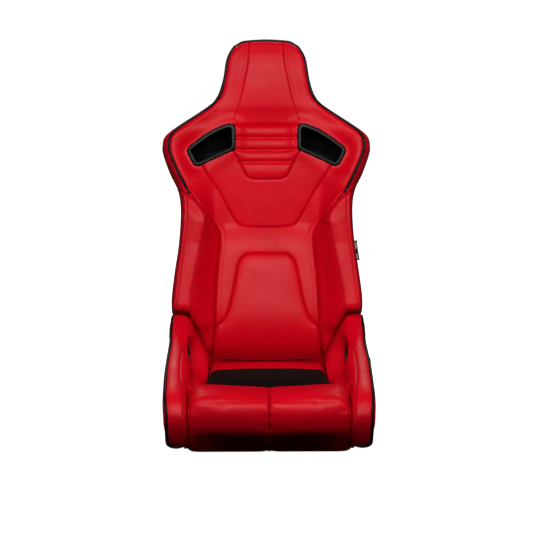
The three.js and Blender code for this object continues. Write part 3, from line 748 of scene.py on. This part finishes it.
def cosine_ends(start, end, radius, step):
    """Positions from start to end, closer together near the round ends."""
    lead = start + radius * (1 - np.cos(np.linspace(0, np.pi / 2, 8)))
    middle = np.linspace(start + radius, end - radius, int((end - start - 2 * radius) / step))[1:-1]
    return np.concatenate([lead, middle, (start + end) - lead[::-1]])


# ---- Base upholstery ----
CUSHION_FRONT, CUSHION_REAR = -248.5, 54
SOLE_Z = 51.5
ROLL_FRONT, ROLL_HALF, ROLL_CREST, ROLL_BASE = -386, 203, 147, 5
ROLL_MIDDLE = (-318, 85)  # (y, z), from which its section is drawn in
STRIP_Y = -26  # the black panel of the cushion ends here, and its red rear strip begins


def along_cushion(y, front, rear):
    """A measure of the cushion at y, which goes evenly from its front value to its rear one."""
    share = (y - CUSHION_FRONT) / (CUSHION_REAR - CUSHION_FRONT)
    return front + (rear - front) * np.clip(share, 0, 1)


def cushion_half(y):
    return along_cushion(y, 168, 155)


def cushion_top(y):
    return along_cushion(y, 137, 94)


def add_seat_cushion():
    rings = []
    front, rear, end_radius = CUSHION_FRONT + 1, CUSHION_REAR - 1, 8
    for y in cosine_ends(front, rear, end_radius, 5):
        inset = end_inset(y, front, rear, end_radius)
        half = cushion_half(y) - 1.2
        top = cushion_top(y) + 6 * ease(-30, 20, y) - inset - 2
        bottom = SOLE_Z + 1
        corners = [(-half, bottom), (half, bottom), (half, top - 20), (half - 11, top + 1), (0, top + 2)]
        corners += [(-half + 11, top + 1), (-half, top - 20)]
        ring = rounded_ring(corners, [3, 3, 10, 24, 60, 24, 10])
        rings.append(np.insert(ring, 1, y, axis=1))
    rings = np.array(rings)

    def held(x, y, z):
        return (z < SOLE_Z + 6) | (np.abs(y - STRIP_Y) < 3) | (np.abs(x) > cushion_half(y) - 5)

    skin = rings.reshape(-1, 3), skin_faces(*rings.shape[:2])
    points, normals, faces = inflate(*skin, held, voxel=5, cap=7)
    seam = np.abs(points[:, 1] - STRIP_Y)
    points = points + normals * groove(seam, 2.2, 2.6)[:, None]
    for name, material, slot, ahead in (
        ("seat_cushion_panel", black_suede, "black_seat_fabric", True),
        ("seat_cushion_strip", red_leather, "red_leatherette", False),
    ):
        piece = add_mesh(name, base_to_world(points), faces, material, "base")
        keep_half(piece, STRIP_Y, ahead)
        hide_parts("seat_cushion")


def add_rear_skirt():
    """A dished black panel behind the cushion, which closes the gap under the backrest."""
    profile = spline([(55.5, 84), (58.5, 75), (66, 66), (80, 59.5), (96, 56), (112, 55)], 24)
    rings = []
    for x in np.linspace(-164, 164, 30):
        lip = 3 * ease(150, 164, abs(x))
        top = np.insert(profile + [0, lip], 0, x, axis=1)
        bottom = np.insert(profile[::-1] + [-1.4, lip - 1.6], 0, x, axis=1)
        rings.append(np.vstack([top, bottom]))
    skirt = loft("rear_skirt_panel", base_to_world(np.array(rings)), black_plastic, "base")


def keep_half(piece, y, ahead):
    """Cuts a piece of the base across at y, and keeps the part ahead of the cut or behind it, closed."""
    bm = bmesh.new()
    bm.from_mesh(piece.data)
    where = base_to_world([0, y, 0])
    side = {"clear_outer": ahead, "clear_inner": not ahead}
    geometry = [*bm.verts, *bm.edges, *bm.faces]
    bmesh.ops.bisect_plane(bm, geom=geometry, plane_co=where, plane_no=(0, 1, 0), **side)
    bmesh.ops.holes_fill(bm, edges=[e for e in bm.edges if e.is_boundary], sides=0)
    bm.to_mesh(piece.data)
    bm.free()


def add_front_roll():
    front, half = ROLL_FRONT, ROLL_HALF
    crest, base = ROLL_CREST, ROLL_BASE
    nose = spline(
        [(-340, base - 1), (front + 27, base - 4.5), (front + 17, base - 4), (front + 10, base + 4),
         (front + 5.5, 28),
         (front + 2, 53), (front + 0.5, 76), (front + 1.5, 96), (front + 5, 113), (front + 11.5, 129),
         (front + 25, 139),
         (-345, 142.5), (-316, crest), (-288, crest - 1), (-264, 141), (-251, 133)],
        110,
    )
    under = [(-251, 133), (-250, 120), (-250, SOLE_Z + 1), (-338.5, SOLE_Z + 1), (-340, base - 1)]
    under = resample(np.array(under, float), 60)
    profile = np.vstack([nose, under[1:-1]])
    middle = np.array(ROLL_MIDDLE, float)
    rings = []
    left, right, end_radius = -half + 1, half - 1, 34
    for x in cosine_ends(left, right, end_radius, 4):
        share = 0.16 + 0.84 * ease(100, 142, profile[:, 1])[:, None]  # the ends are rounder at the top
        waist = 2 + 2.5 * math.exp(-((x / 14) ** 2))
        inset = end_inset(x, left, right, end_radius) * share + waist
        lift = 7 * math.sin(math.pi * min(abs(x) / 330, 1)) ** 2 - 1  # each half is fullest in its middle
        away = profile - middle
        length = np.linalg.norm(away, axis=1, keepdims=True)
        ring = profile - away / length * np.minimum(inset, 0.6 * length)
        ring[:, 1] += lift * ease(100, 140, profile[:, 1])
        rings.append(np.insert(ring, 0, x, axis=1))
    rings = np.array(rings)
    sewn_end = half - 6

    def held(x, y, z):
        sewn = (np.abs(x) < 3) | (np.abs(np.abs(x) - sewn_end) < 2.6)
        return sewn | (y > -262) | (z < base + 6) | (z < 60) & (y > -350)

    def near_slit(x, y, z):
        return (np.abs(x) < 9) & (y < -255) & (z > 8)

    skin = rings.reshape(-1, 3), skin_faces(*rings.shape[:2])
    points, normals, faces = inflate(*skin, held, voxel=5, cap=9, pressure=5.0)
    points, normals, faces = refine(points, faces, near_slit, cuts=2)
    x, y, z = points.T
    shown = ease(-258, -275, y) * ease(12, 30, z)
    slit = (groove(np.abs(x), 11, 1.3) + groove(np.abs(x), 2.5, 6)) * shown
    from_seam = np.abs(np.abs(x) - sewn_end)
    ends = groove(from_seam, 2.2, 2.0)
    turn = np.arctan2(z - middle[1], middle[0] - y)
    pleats = np.sin(17 * turn + 2 * np.sin(5 * turn)) * np.exp(-from_seam / 7) * (0.45 + 0.55 * (x > 0))
    folds = np.sin(15 * turn + 1.3 + 0.8 * (x > 0)) * np.exp(-np.abs(x) / 10) * shown
    crease = groove(np.abs(z - 134) + np.clip(y + 340, 0, 60), 0.8, 3.0)
    crease = crease * ease(4, 14, np.abs(x)) * ease(190, 175, np.abs(x))
    swell = 1.2 * pleats * ease(-250, -280, y) + 1.5 * folds + crease
    points = points + normals * (slit + ends + swell)[:, None]
    roll = add_mesh("front_roll_cover", base_to_world(points), faces, red_leather, "base")
    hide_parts("front_roll")
    add_roll_seams(roll, sewn_end)


def add_roll_seams(roll, sewn_end):
    """Dark lines followed round the roll's skin from outside: a black cord in the centre slit that paints the
    slit's deep shade, and the seams of its sewn ends.
    """
    tree = skin_tree(roll)
    for name, x, radius, proud, material, first, last in (
        # The centre slit's black cord is painted shade; the slit itself is only a groove in the skin.
        ("roll_slit_painted_shade", 0, 2.5, -0.15, black_vinyl, -1.25, 1.35),
        ("roll_end_seam_left", -sewn_end, 0.8, 0.35, dark_seam, -1.0, 1.6),
        ("roll_end_seam_right", sewn_end, 0.8, 0.35, dark_seam, -1.0, 1.6),
    ):
        path = []
        for turn in np.linspace(first, last, 90):
            way = np.array([0, -math.cos(turn), math.sin(turn)])
            start = base_to_world(np.array([x, -318, 80]) + 200 * way)  # well outside the roll
            hit = tree.ray_cast(Vector(start), Vector(-way))[0]
            if hit is not None:
                path.append(np.array(hit[:]) + way * proud * radius * MM)
        seam = tube(name, np.array(path), radius * MM, material, "base", sides=8)


BOLSTER_LINE = spline(
    [(-384, 257, 86), (-376, 262, 104), (-353, 265, 131), (-313, 267, 148), (-251, 268, 156),
     (-191, 269, 161),
     (-131, 268, 170), (-81, 266, 178), (-31, 264, 190), (19, 263, 215), (44, 262, 230), (62, 258, 233)],
    400,
)
FRAME_SIDE = 222  # the bolsters stand on the steel frame inside this
RAIL_FRONT = -338
BELT_Y, BELT_Z = -46, 142  # middle of the lap belt's hole
BELT_LENGTH, BELT_HEIGHT, BELT_TILT = 42, 29, 0.25  # its half length, half height and tilt in radians


def toe_z(y):
    """The lowest level of a bolster, which lifts a little at its toe."""
    return 15 + 7 * np.clip((-353 - y) / 31, 0, 1) ** 2


def bolster_ring(y, inner, sole, front, rear):
    """The section of the right-hand base bolster at y, with its inner wall at inner."""
    outer, top = (np.interp(y, BOLSTER_LINE[:, 0], column) for column in BOLSTER_LINE.T[1:])
    low = toe_z(y)
    rear_part = ease(-110, 30, y)
    seat_line = cushion_top(y) - 14 + 33 * rear_part
    slope_x = (inner + 201) / 2 + 9 - 5 * rear_part
    slope_z = (seat_line + top - 15) / 2 - 8 + 9 * rear_part
    if inner > ROLL_HALF:
        seat_line, slope_x, slope_z = top - 70, inner + 0.2, top - 45
    corners = [
        (inner, sole), (FRAME_SIDE, sole), (FRAME_SIDE, low), (outer - 7, low),
        (outer - 4, min(92, top - 45)),
        (outer, top - 24), (outer - 7, top), (238, top + 5), (213, top + 1),
        (max(202, inner + 1), top - 14),
        (slope_x, slope_z), (inner, seat_line),
    ]
    ring = rounded_ring(corners, [3, 3, 3, 13, 30, 20, 14, 22, 16, 16, 24, 20], 9, 9)
    inset = end_inset(y, front, rear, 10)
    centre = np.array([inner, (ring[:, 1].max() + ring[:, 1].min()) / 2])
    reach = [ring[:, 0].max() - inner, (ring[:, 1].max() - ring[:, 1].min()) / 2]
    ring = centre + (ring - centre) * (1 - inset / np.array(reach))
    return np.insert(ring, 1, y, axis=1)


def belt_hole_radius(y, z):
    """1 on the rim of the belt's hole, less inside it and more outside."""
    dy, dz = y - BELT_Y, z - BELT_Z
    cos, sin = math.cos(BELT_TILT), math.sin(BELT_TILT)
    along, across = dy * cos + dz * sin, dz * cos - dy * sin
    return np.hypot(along / BELT_LENGTH, across / BELT_HEIGHT)


def seam_across(y):
    """x of the seam along a base bolster's inner shoulder."""
    return 227 - 22 * ease(-130, 4, y) - 14 * ease(-190, -385, y)


def add_bolster_seam(piece, side, s):
    """A fine line of sewing laid on the bolster's skin, followed down from above."""
    tree = skin_tree(piece)
    y = np.linspace(-374, -2, 180)
    across = base_to_world(np.stack([s * seam_across(y), y, np.full_like(y, 400)], axis=1))
    hits = [tree.ray_cast(Vector(p), Vector((0, 0, -1)))[0] for p in across]
    path = np.array([[*hit] for hit in hits if hit is not None])
    seam = tube(f"base_bolster_seam_{side}", path, BOLSTER_SEAM * MM, dark_seam, "base", sides=8)


def belt_prism(s, grow, steps=72):
    """An elliptical prism through a bolster at the belt's hole, as vertices in metres and faces."""
    angle = np.linspace(0, 2 * np.pi, steps, endpoint=False)
    along = (BELT_LENGTH + grow) * np.cos(angle)
    across = (BELT_HEIGHT + grow) * np.sin(angle)
    cos, sin = math.cos(BELT_TILT), math.sin(BELT_TILT)
    y = BELT_Y + along * cos - across * sin
    z = BELT_Z + along * sin + across * cos
    rings = np.array([np.stack([np.full(steps, x), y, z], axis=1) for x in (120.0, 320.0)])
    return base_to_world(rings.reshape(-1, 3) * [s, 1, 1]), skin_faces(2, steps)


def boolean(piece, prism, operation):
    """Cuts a piece with a closed prism, or keeps what they share."""
    tool = new_object("tool", new_mesh("tool", *prism))
    modifier = piece.modifiers.new("cut", "BOOLEAN")
    modifier.operation = operation
    modifier.solver = "EXACT"
    modifier.object = tool
    mesh = applied(piece)
    piece.modifiers.clear()
    piece.data = mesh
    bpy.data.objects.remove(tool)


def bolster_skin(s):
    """Rings of points over a whole base bolster, dished round the belt's hole."""
    front, rear = BOLSTER_LINE[0, 0], BOLSTER_LINE[-1, 0]
    places = list(cosine_ends(front, rear, 10, 3.5))
    places += [RAIL_FRONT - 0.2, RAIL_FRONT + 0.2, CUSHION_FRONT - 0.6, CUSHION_FRONT - 0.2]
    rings = []
    for y in sorted(places):
        inner = ROLL_HALF + 0.6 if y < CUSHION_FRONT - 0.4 else cushion_half(y) + 0.6
        sole = SOLE_Z if y > RAIL_FRONT else toe_z(y)
        rings.append(bolster_ring(y, inner, sole, front, rear))
    rings = np.array(rings)
    x, y, z = np.moveaxis(rings, -1, 0)
    dished = 1 - ease(1.12, 2.1, belt_hole_radius(y, z))
    wall = 208 + 5 * np.clip((z - 150) / 40, 0, 1)
    inner_face = ease(236, 216, x)
    x = x + np.clip(wall - x, 0, None) * dished * inner_face - 3 * dished * ease(245, 258, x)
    z = z + groove(np.abs(x - seam_across(y)), 1.2, 2.4) * ease(70, 100, z) * (1 - ease(-20, 0, y))
    return np.stack([s * x, y, z], axis=-1)


def add_base_bolsters():
    for side, s in SIDES:
        rings = bolster_skin(s)
        skin = base_to_world(rings.reshape(-1, 3)), skin_faces(*rings.shape[:2])
        piece = add_mesh(f"base_bolster_cover_{side}", *skin, red_leather, "base")
        sleeve = add_mesh(f"belt_sleeve_liner_{side}", *skin, black_plastic, "base")
        boolean(piece, belt_prism(s, 2.6), "DIFFERENCE")
        boolean(sleeve, belt_prism(s, 2.3), "INTERSECT")
        boolean(sleeve, belt_prism(s, 0), "DIFFERENCE")
        for obj, material, slot, node in (
            (piece, red_leather, "red_leatherette", f"base_bolster_{side}"),
            (sleeve, black_plastic, "black_plastic", f"belt_sleeve_{side}"),
        ):
            obj.data.materials.clear()
            obj.data.materials.append(material)
            smooth_by_angle(obj, 35)
            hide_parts(node)
        add_bolster_seam(piece, side, s)
        add_base_piping(side, s)


def smooth_by_angle(obj, degrees):
    """Shades a piece smooth, but sharp along edges that turn more than this."""
    bm = bmesh.new()
    bm.from_mesh(obj.data)
    for face in bm.faces:
        face.smooth = True
    for edge in bm.edges:
        edge.smooth = len(edge.link_faces) == 2 and edge.calc_face_angle(0) < math.radians(degrees)
    bm.to_mesh(obj.data)
    bm.free()


PIPE = 3.9  # radius of the piping
SEAM, BOLSTER_SEAM = 0.65, 0.9  # radius of the lines that the seams show


def add_base_piping(side, s):
    run = BOLSTER_LINE[(BOLSTER_LINE[:, 0] > -377) & (BOLSTER_LINE[:, 0] < 56)][::12]
    run = [(outer - 8.5, y, top - 2.0) for y, outer, top in run]
    nose = [(ROLL_HALF + 13, -376, 22), (232, -380, 21), (249, -383, 29), (253, -384, 58)]
    path = spline([*nose, *run], 220) * [s, 1, 1]
    piping = tube(f"base_piping_cord_{side}", base_to_world(path), PIPE * MM, black_vinyl, "base")
    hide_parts(f"base_piping_{side}")


# ---- Backrest trim ----
FOOT_SHADOW_RADIUS = 1.7  # radius of the dark line along the backrest's foot, a painted shadow of the gap between the backrest and the cushion
# Path of the foot's dark line, which paints the shadow in the gap between the backrest and the cushion.
FOOT = spline([(0, -21.5), (40, -21.5), (80, -21), (114, -19)], 12)


def add_back_seams():
    """The thin dark lines where the backrest's panels are sewn to each other, and a dark line along its foot that
    is painted shadow of the gap above the cushion.
    """
    curves = (
        ("head_seam", HEAD_SEAM), ("shield_seam", SHIELD), ("lumbar_seam", LUMBAR),
        ("fluted_panel_seam", FLUTE_PANEL),
        ("bolster_seam", BOLSTER_EDGE), ("bolster_top_seam", BOLSTER_TOP), ("foot_painted_shadow", FOOT),
    )
    for name, curve in curves:
        radius = (FOOT_SHADOW_RADIUS if name == "foot_painted_shadow" else SEAM) * MM
        runs = [(f"_{side}", curve * [s, 1]) for side, s in SIDES]
        if curve[0, 0] == 0:
            runs = [("", np.vstack([curve[::-1] * [-1, 1], curve[1:]]))]
        for suffix, run in runs:
            x, w = resample(run, len(run) * 2).T
            path = back_to_world(np.stack([x, height(x, w) + 0.1, w], axis=1))
            seam = tube(name + suffix, path, radius, dark_seam, "backrest", sides=8)


def add_back_piping():
    half = PIPING[::2]
    path = np.vstack([half * [-1, 1], half[:-1][::-1]])
    x, w = path.T
    level = height(x, w) + 4.0
    level = np.convolve(np.pad(level, 2, mode="edge"), np.ones(5) / 5, mode="valid")
    smooth = spline(np.stack([x, level, w], axis=1)[::2], 500)
    piping = tube("back_piping_cord", back_to_world(smooth), PIPE * MM, black_vinyl, "backrest")
    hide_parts("back_piping")


def slot_ring(grow, level):
    """The slot's outline moved out by grow, at one level, as (x, h, w)."""
    x, w = (SLOT_EDGE + SLOT_OUT * grow).T
    return np.stack([x, level + 0 * x, w], axis=1)


def add_slot_trim(name, side, s, rings, count):
    """A moulded ring round a slot, whose section is smoothed to this many points."""
    fine = np.stack([spline(column, count) for column in np.stack(rings, axis=1)], axis=1) * [s, 1, 1]
    piece = loft(f"{name}_ring_{side}", back_to_world(fine), black_plastic, "backrest", closed=True)
    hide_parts(f"{name}_{side}")


def add_harness_bezels():
    section = [
        (-0.6, -34), (-1.0, -2), (-0.6, 2.2), (0.6, 5.0), (2.6, 7.0), (4.6, 7.6), (6.6, 6.6), (8.4, 4.2),
        (9.6, 1.2),
        (10.0, -3), (9.4, -6.5), (3.0, -8), (2.4, -34),
    ]
    rear_section = [
        (1.0, -38.3), (0.6, -40.5), (1.6, -42.2), (4.5, -42.6), (7.4, -41.6), (8.2, -39.6), (8.0, -38.3),
    ]
    tunnel_end = -37.7
    rings = [slot_ring(grow, level) for grow, level in section]
    for ring in rings:
        ring[:, 1] += bezel_plane(ring[:, 0])
    rings[0], rings[-1] = slot_ring(0.6, tunnel_end), slot_ring(2.2, tunnel_end)
    rear_rings = [slot_ring(grow, level) for grow, level in rear_section]
    for side, s in SIDES:
        add_slot_trim("harness_bezel", side, s, rings, 48)
        add_slot_trim("rear_bezel", side, s, rear_rings, 20)
        add_slot_flaps(side, s)


def add_slot_flaps(side, s):
    """Two overlapping flaps of lining cloth across the tunnel, which a harness belt pushes between."""
    for name, level, overlap, trim in (("upper", -24.0, -6, np.maximum), ("lower", -27.0, 6, np.minimum)):
        flap = slot_ring(0.6, level)
        middle = 571 - 0.26 * (flap[:, 0] - 90)
        flap[:, 2] = trim(flap[:, 2], middle + overlap)
        rings = np.array([flap, flap - [0, 1.2, 0]]) * [s, 1, 1]
        piece = loft(f"slot_flap_{name}_{side}", back_to_world(rings), flap_cloth, "backrest")


def add_stitches():
    """Rows of single stitches beside the side bolsters' seams."""
    length, gap, radius = 2.8, 2.4, 0.7
    steps = np.linspace(-0.5, 0.5, 7)[:, None] * length
    arch = radius * (0.2 + 0.9 * np.sin(np.linspace(0, np.pi, 7))) - 0.25
    for side, s in SIDES:
        vertices, faces = [], []
        for curve in (INNER_STITCH, OUTER_STITCH):
            run = np.linalg.norm(np.diff(resample(curve, 600), axis=0), axis=1).sum()
            line = resample(curve, 2 * int(run / gap))
            tangent = np.gradient(line, axis=0)
            tangent /= np.linalg.norm(tangent, axis=1, keepdims=True)
            x, w = np.moveaxis(line[::2, None] + tangent[::2, None] * steps, -1, 0)
            for path in np.stack([s * x, height(x, w) + arch, w], axis=-1):
                capsule(vertices, faces, path, radius)
        vertices = back_to_world(np.array(vertices))
        stitches = add_mesh(f"bolster_stitches_{side}", vertices, faces, thread, "backrest")


def capsule(vertices, faces, path, radius, sides=6):
    """Adds one stitch, a short tube with tapered ends, to lists of vertices and faces."""
    tangent = path[-1] - path[0]
    tangent = tangent / np.linalg.norm(tangent)
    normal = np.cross(tangent, [0.2, 1, 0.1])
    normal /= np.linalg.norm(normal)
    binormal = np.cross(tangent, normal)
    start = len(vertices)
    for point, scale in zip(path, (0.35, 0.8, 1, 1, 1, 0.8, 0.35)):
        for angle in np.linspace(0, 2 * np.pi, sides, endpoint=False):
            vertices.append(point + radius * scale * (math.cos(angle) * normal + math.sin(angle) * binormal))
    faces.extend([start + i for i in face] for face in skin_faces(len(path), sides))


# ---- Rear cover ----
def rear_height(x, w):
    """Height, below zero, of the rear cover's skin."""
    across = np.abs(x)
    t = np.clip(distance_to(OUTLINE, across, w) / 15, 0, 1)
    depth = 3 + 34 * np.sqrt(1 - (1 - t) ** 2)
    round_end = np.sqrt(np.clip(47.5**2 - np.minimum(w, 0) ** 2, 0, None))
    depth = np.minimum(depth, np.where(w < 0, round_end, 99))
    depth = depth + groove(distance_to(REAR_SEAM, across, w), 2.2, 2.4)
    depth = depth + groove(np.abs(w - REAR_WAIST) + 1000 * (across > 150), 2.2, 2.4)
    return -depth


REAR_WAIST = 300  # row of the seam across the rear cover
REAR_SEAM = spline(
    [
        (150, 20), (168, 150), (172, 290), (178, 400), (205, 480), (232, 545), (222, 590), (150, 628),
        (104, 690),
        (86, 760), (60, 806), (0, 812),
    ],
    120,
)


def add_rear_cover():
    rows, columns = int((TOP_W - BOTTOM_W) / 3.2), 190
    v = np.linspace(BOTTOM_W + 0.5, TOP_W - 0.5, rows)[:, None]
    even = np.linspace(-1, 1, columns)[None, :]
    half = half_width(v)
    x = (0.35 * np.sin(even * np.pi / 2) + 0.65 * even) * half  # closer together near the edges
    w = v + crown(v, x / half)
    h = rear_height(x, w)
    hole = inside(slot_loop(HOLE_MARGIN), np.abs(centres(x)), centres(w))
    cover = heightfield("rear_cover_shell", x, w, h, ~hole, floor=-0.5)
    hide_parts("rear_cover")


# ---- Side tag ----
def add_side_tag():
    """A folded loop of plain woven tape, sewn into the side seam of the right-hand bolster."""
    low, width, half_thickness, wall = 249.0, 10.5, 1.2, 0.35
    bands = (
        (0, 4, tag_black), (4, 17, tag_white), (17, 22, tag_black), (22, 26, tag_red), (26, 31, tag_black),
        (31, 49, tag_white), (49, 54, tag_black),
    )
    bend = [half_thickness * np.exp(1j * angle) for angle in np.linspace(-np.pi / 2, np.pi / 2, 13)]
    fold = [(width - half_thickness + p.real, p.imag) for p in bend]
    outer = [(0, -half_thickness), *fold, (0, half_thickness)]
    inner = [(a - wall * (a > width - half_thickness - 0.1), 0.7 * b) for a, b in outer]
    section = outer + inner[::-1]
    side = OUTLINE[:-60]
    for i, (start, end, material) in enumerate(bands):
        rings = []
        for w in np.linspace(low + start, low + end, 8):
            edge = x_at(side, w) - 2
            wave = 0.8 * math.sin((w - low) / 9)
            rings.append([(edge + a, -10 + b + wave * a / width, w) for a, b in section])
        piece = loft(f"side_tag_band_{i + 1}", back_to_world(np.array(rings)), material, "backrest")
        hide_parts("side_tag")
    w = np.linspace(low, low + bands[-1][1], 40)
    path = np.stack([x_at(side, w) - 2 + width, -10 + 0.8 * np.sin((w - low) / 9), w], axis=1)
    selvedge = tube("side_tag_selvedge", back_to_world(path), 1.9 * MM, tag_black, "backrest")


add_seat_cushion()
add_rear_skirt()
add_front_roll()
add_base_bolsters()
add_back_piping()
add_back_seams()
add_harness_bezels()
add_stitches()
add_rear_cover()
add_side_tag()


# ---- Stage ----
def add_stage():
    shader = Shader("floor_white", (0.86, 0.86, 0.86), 0.9)
    shader.set(Emission_Color=(1, 1, 1, 1), Emission_Strength=1.0)
    bpy.ops.mesh.primitive_plane_add(size=60, location=(0, 0, 0))
    floor = bpy.context.object
    floor.name = "floor"
    floor.data.materials.append(shader.material)
    floor.visible_diffuse = False
    floor.visible_glossy = False


def add_light(name, place, target, size, power):
    light = bpy.data.lights.new(name, "AREA")
    light.shape = "RECTANGLE"
    light.size, light.size_y = size
    light.energy = power
    obj = new_object(name, light)
    obj.location = place
    obj.rotation_euler = (Vector(target) - Vector(place)).to_track_quat("-Z", "Y").to_euler()
    return obj


def add_lights():
    add_light("key_softbox", (0.0, -2.3, 2.25), (0, 0, 0.45), (2.4, 1.3), 86)
    for side, s in SIDES:
        softbox = add_light(f"{side}_softbox", (2.4 * s, -1.6, 1.9), (0, 0.1, 0.5), (0.7, 1.4), 6.5)
        softbox.visible_glossy = False
    add_light("back_softbox", (0, 2.4, 2.4), (0, 0.2, 0.6), (2.0, 1.0), 45)
    add_flag("low_flag", (0.6, 0.25), (0, -0.4955, 0.08))
    add_flag("roll_flag", (0.4, 0.2), (0.0075, -0.4175, 0.005))
    world = bpy.data.worlds.new("studio")
    bpy.context.scene.world = world
    world.use_nodes = True
    tree = world.node_tree
    background = tree.nodes["Background"]
    background.inputs["Color"].default_value = (1, 1, 1, 1)
    seen = tree.nodes.new("ShaderNodeLightPath").outputs["Is Camera Ray"]
    strength = tree.nodes.new("ShaderNodeMapRange")
    strength.inputs["To Min"].default_value = 0.035
    strength.inputs["To Max"].default_value = 1.0
    tree.links.new(seen, strength.inputs["Value"])
    tree.links.new(strength.outputs["Result"], background.inputs["Strength"])


def add_flag(name, size, place):
    """A black card, unseen by the camera, that keeps the key light off the bottom of the seat's front."""
    shader = Shader(name, (0.005, 0.005, 0.005), 0.9)
    bpy.ops.mesh.primitive_plane_add(size=1, location=place, rotation=(math.pi / 2, 0, 0))
    flag = bpy.context.object
    flag.name = name
    flag.scale = (size[0], size[1], 1)
    flag.data.materials.append(shader.material)
    flag.visible_camera = flag.visible_glossy = False


def add_camera():
    distance, elevation, azimuth = 4.5, math.radians(15), math.radians(-0.7)
    target = Vector((-0.0032, -0.0565, 0.394))
    level = math.cos(elevation)
    away = Vector((math.sin(azimuth) * level, -math.cos(azimuth) * level, math.sin(elevation)))
    data = bpy.data.cameras.new("camera")
    data.sensor_width = 36
    data.lens = 117
    camera = new_object("camera", data)
    camera.location = target + distance * away
    camera.rotation_euler = (-away).to_track_quat("-Z", "Y").to_euler()
    bpy.context.scene.camera = camera


def finish_cad_nodes():
    looks = {
        "red_leatherette": red_leather,
        "black_seat_fabric": black_suede,
        "black_piping": black_vinyl,
        "black_plastic": black_plastic,
        "black_painted_steel": coated_steel,
        "zinc_steel": zinc_steel,
        "label_cloth": tag_white,
    }
    for part in frame["record"]["subparts"]:
        mesh = frame["nodes"][part["node"]].data
        mesh.materials.clear()
        mesh.materials.append(looks[part["material_slot"]])


finish_cad_nodes()
add_stage()
add_lights()
add_camera()
bpy.context.scene.view_settings.view_transform = "Standard"
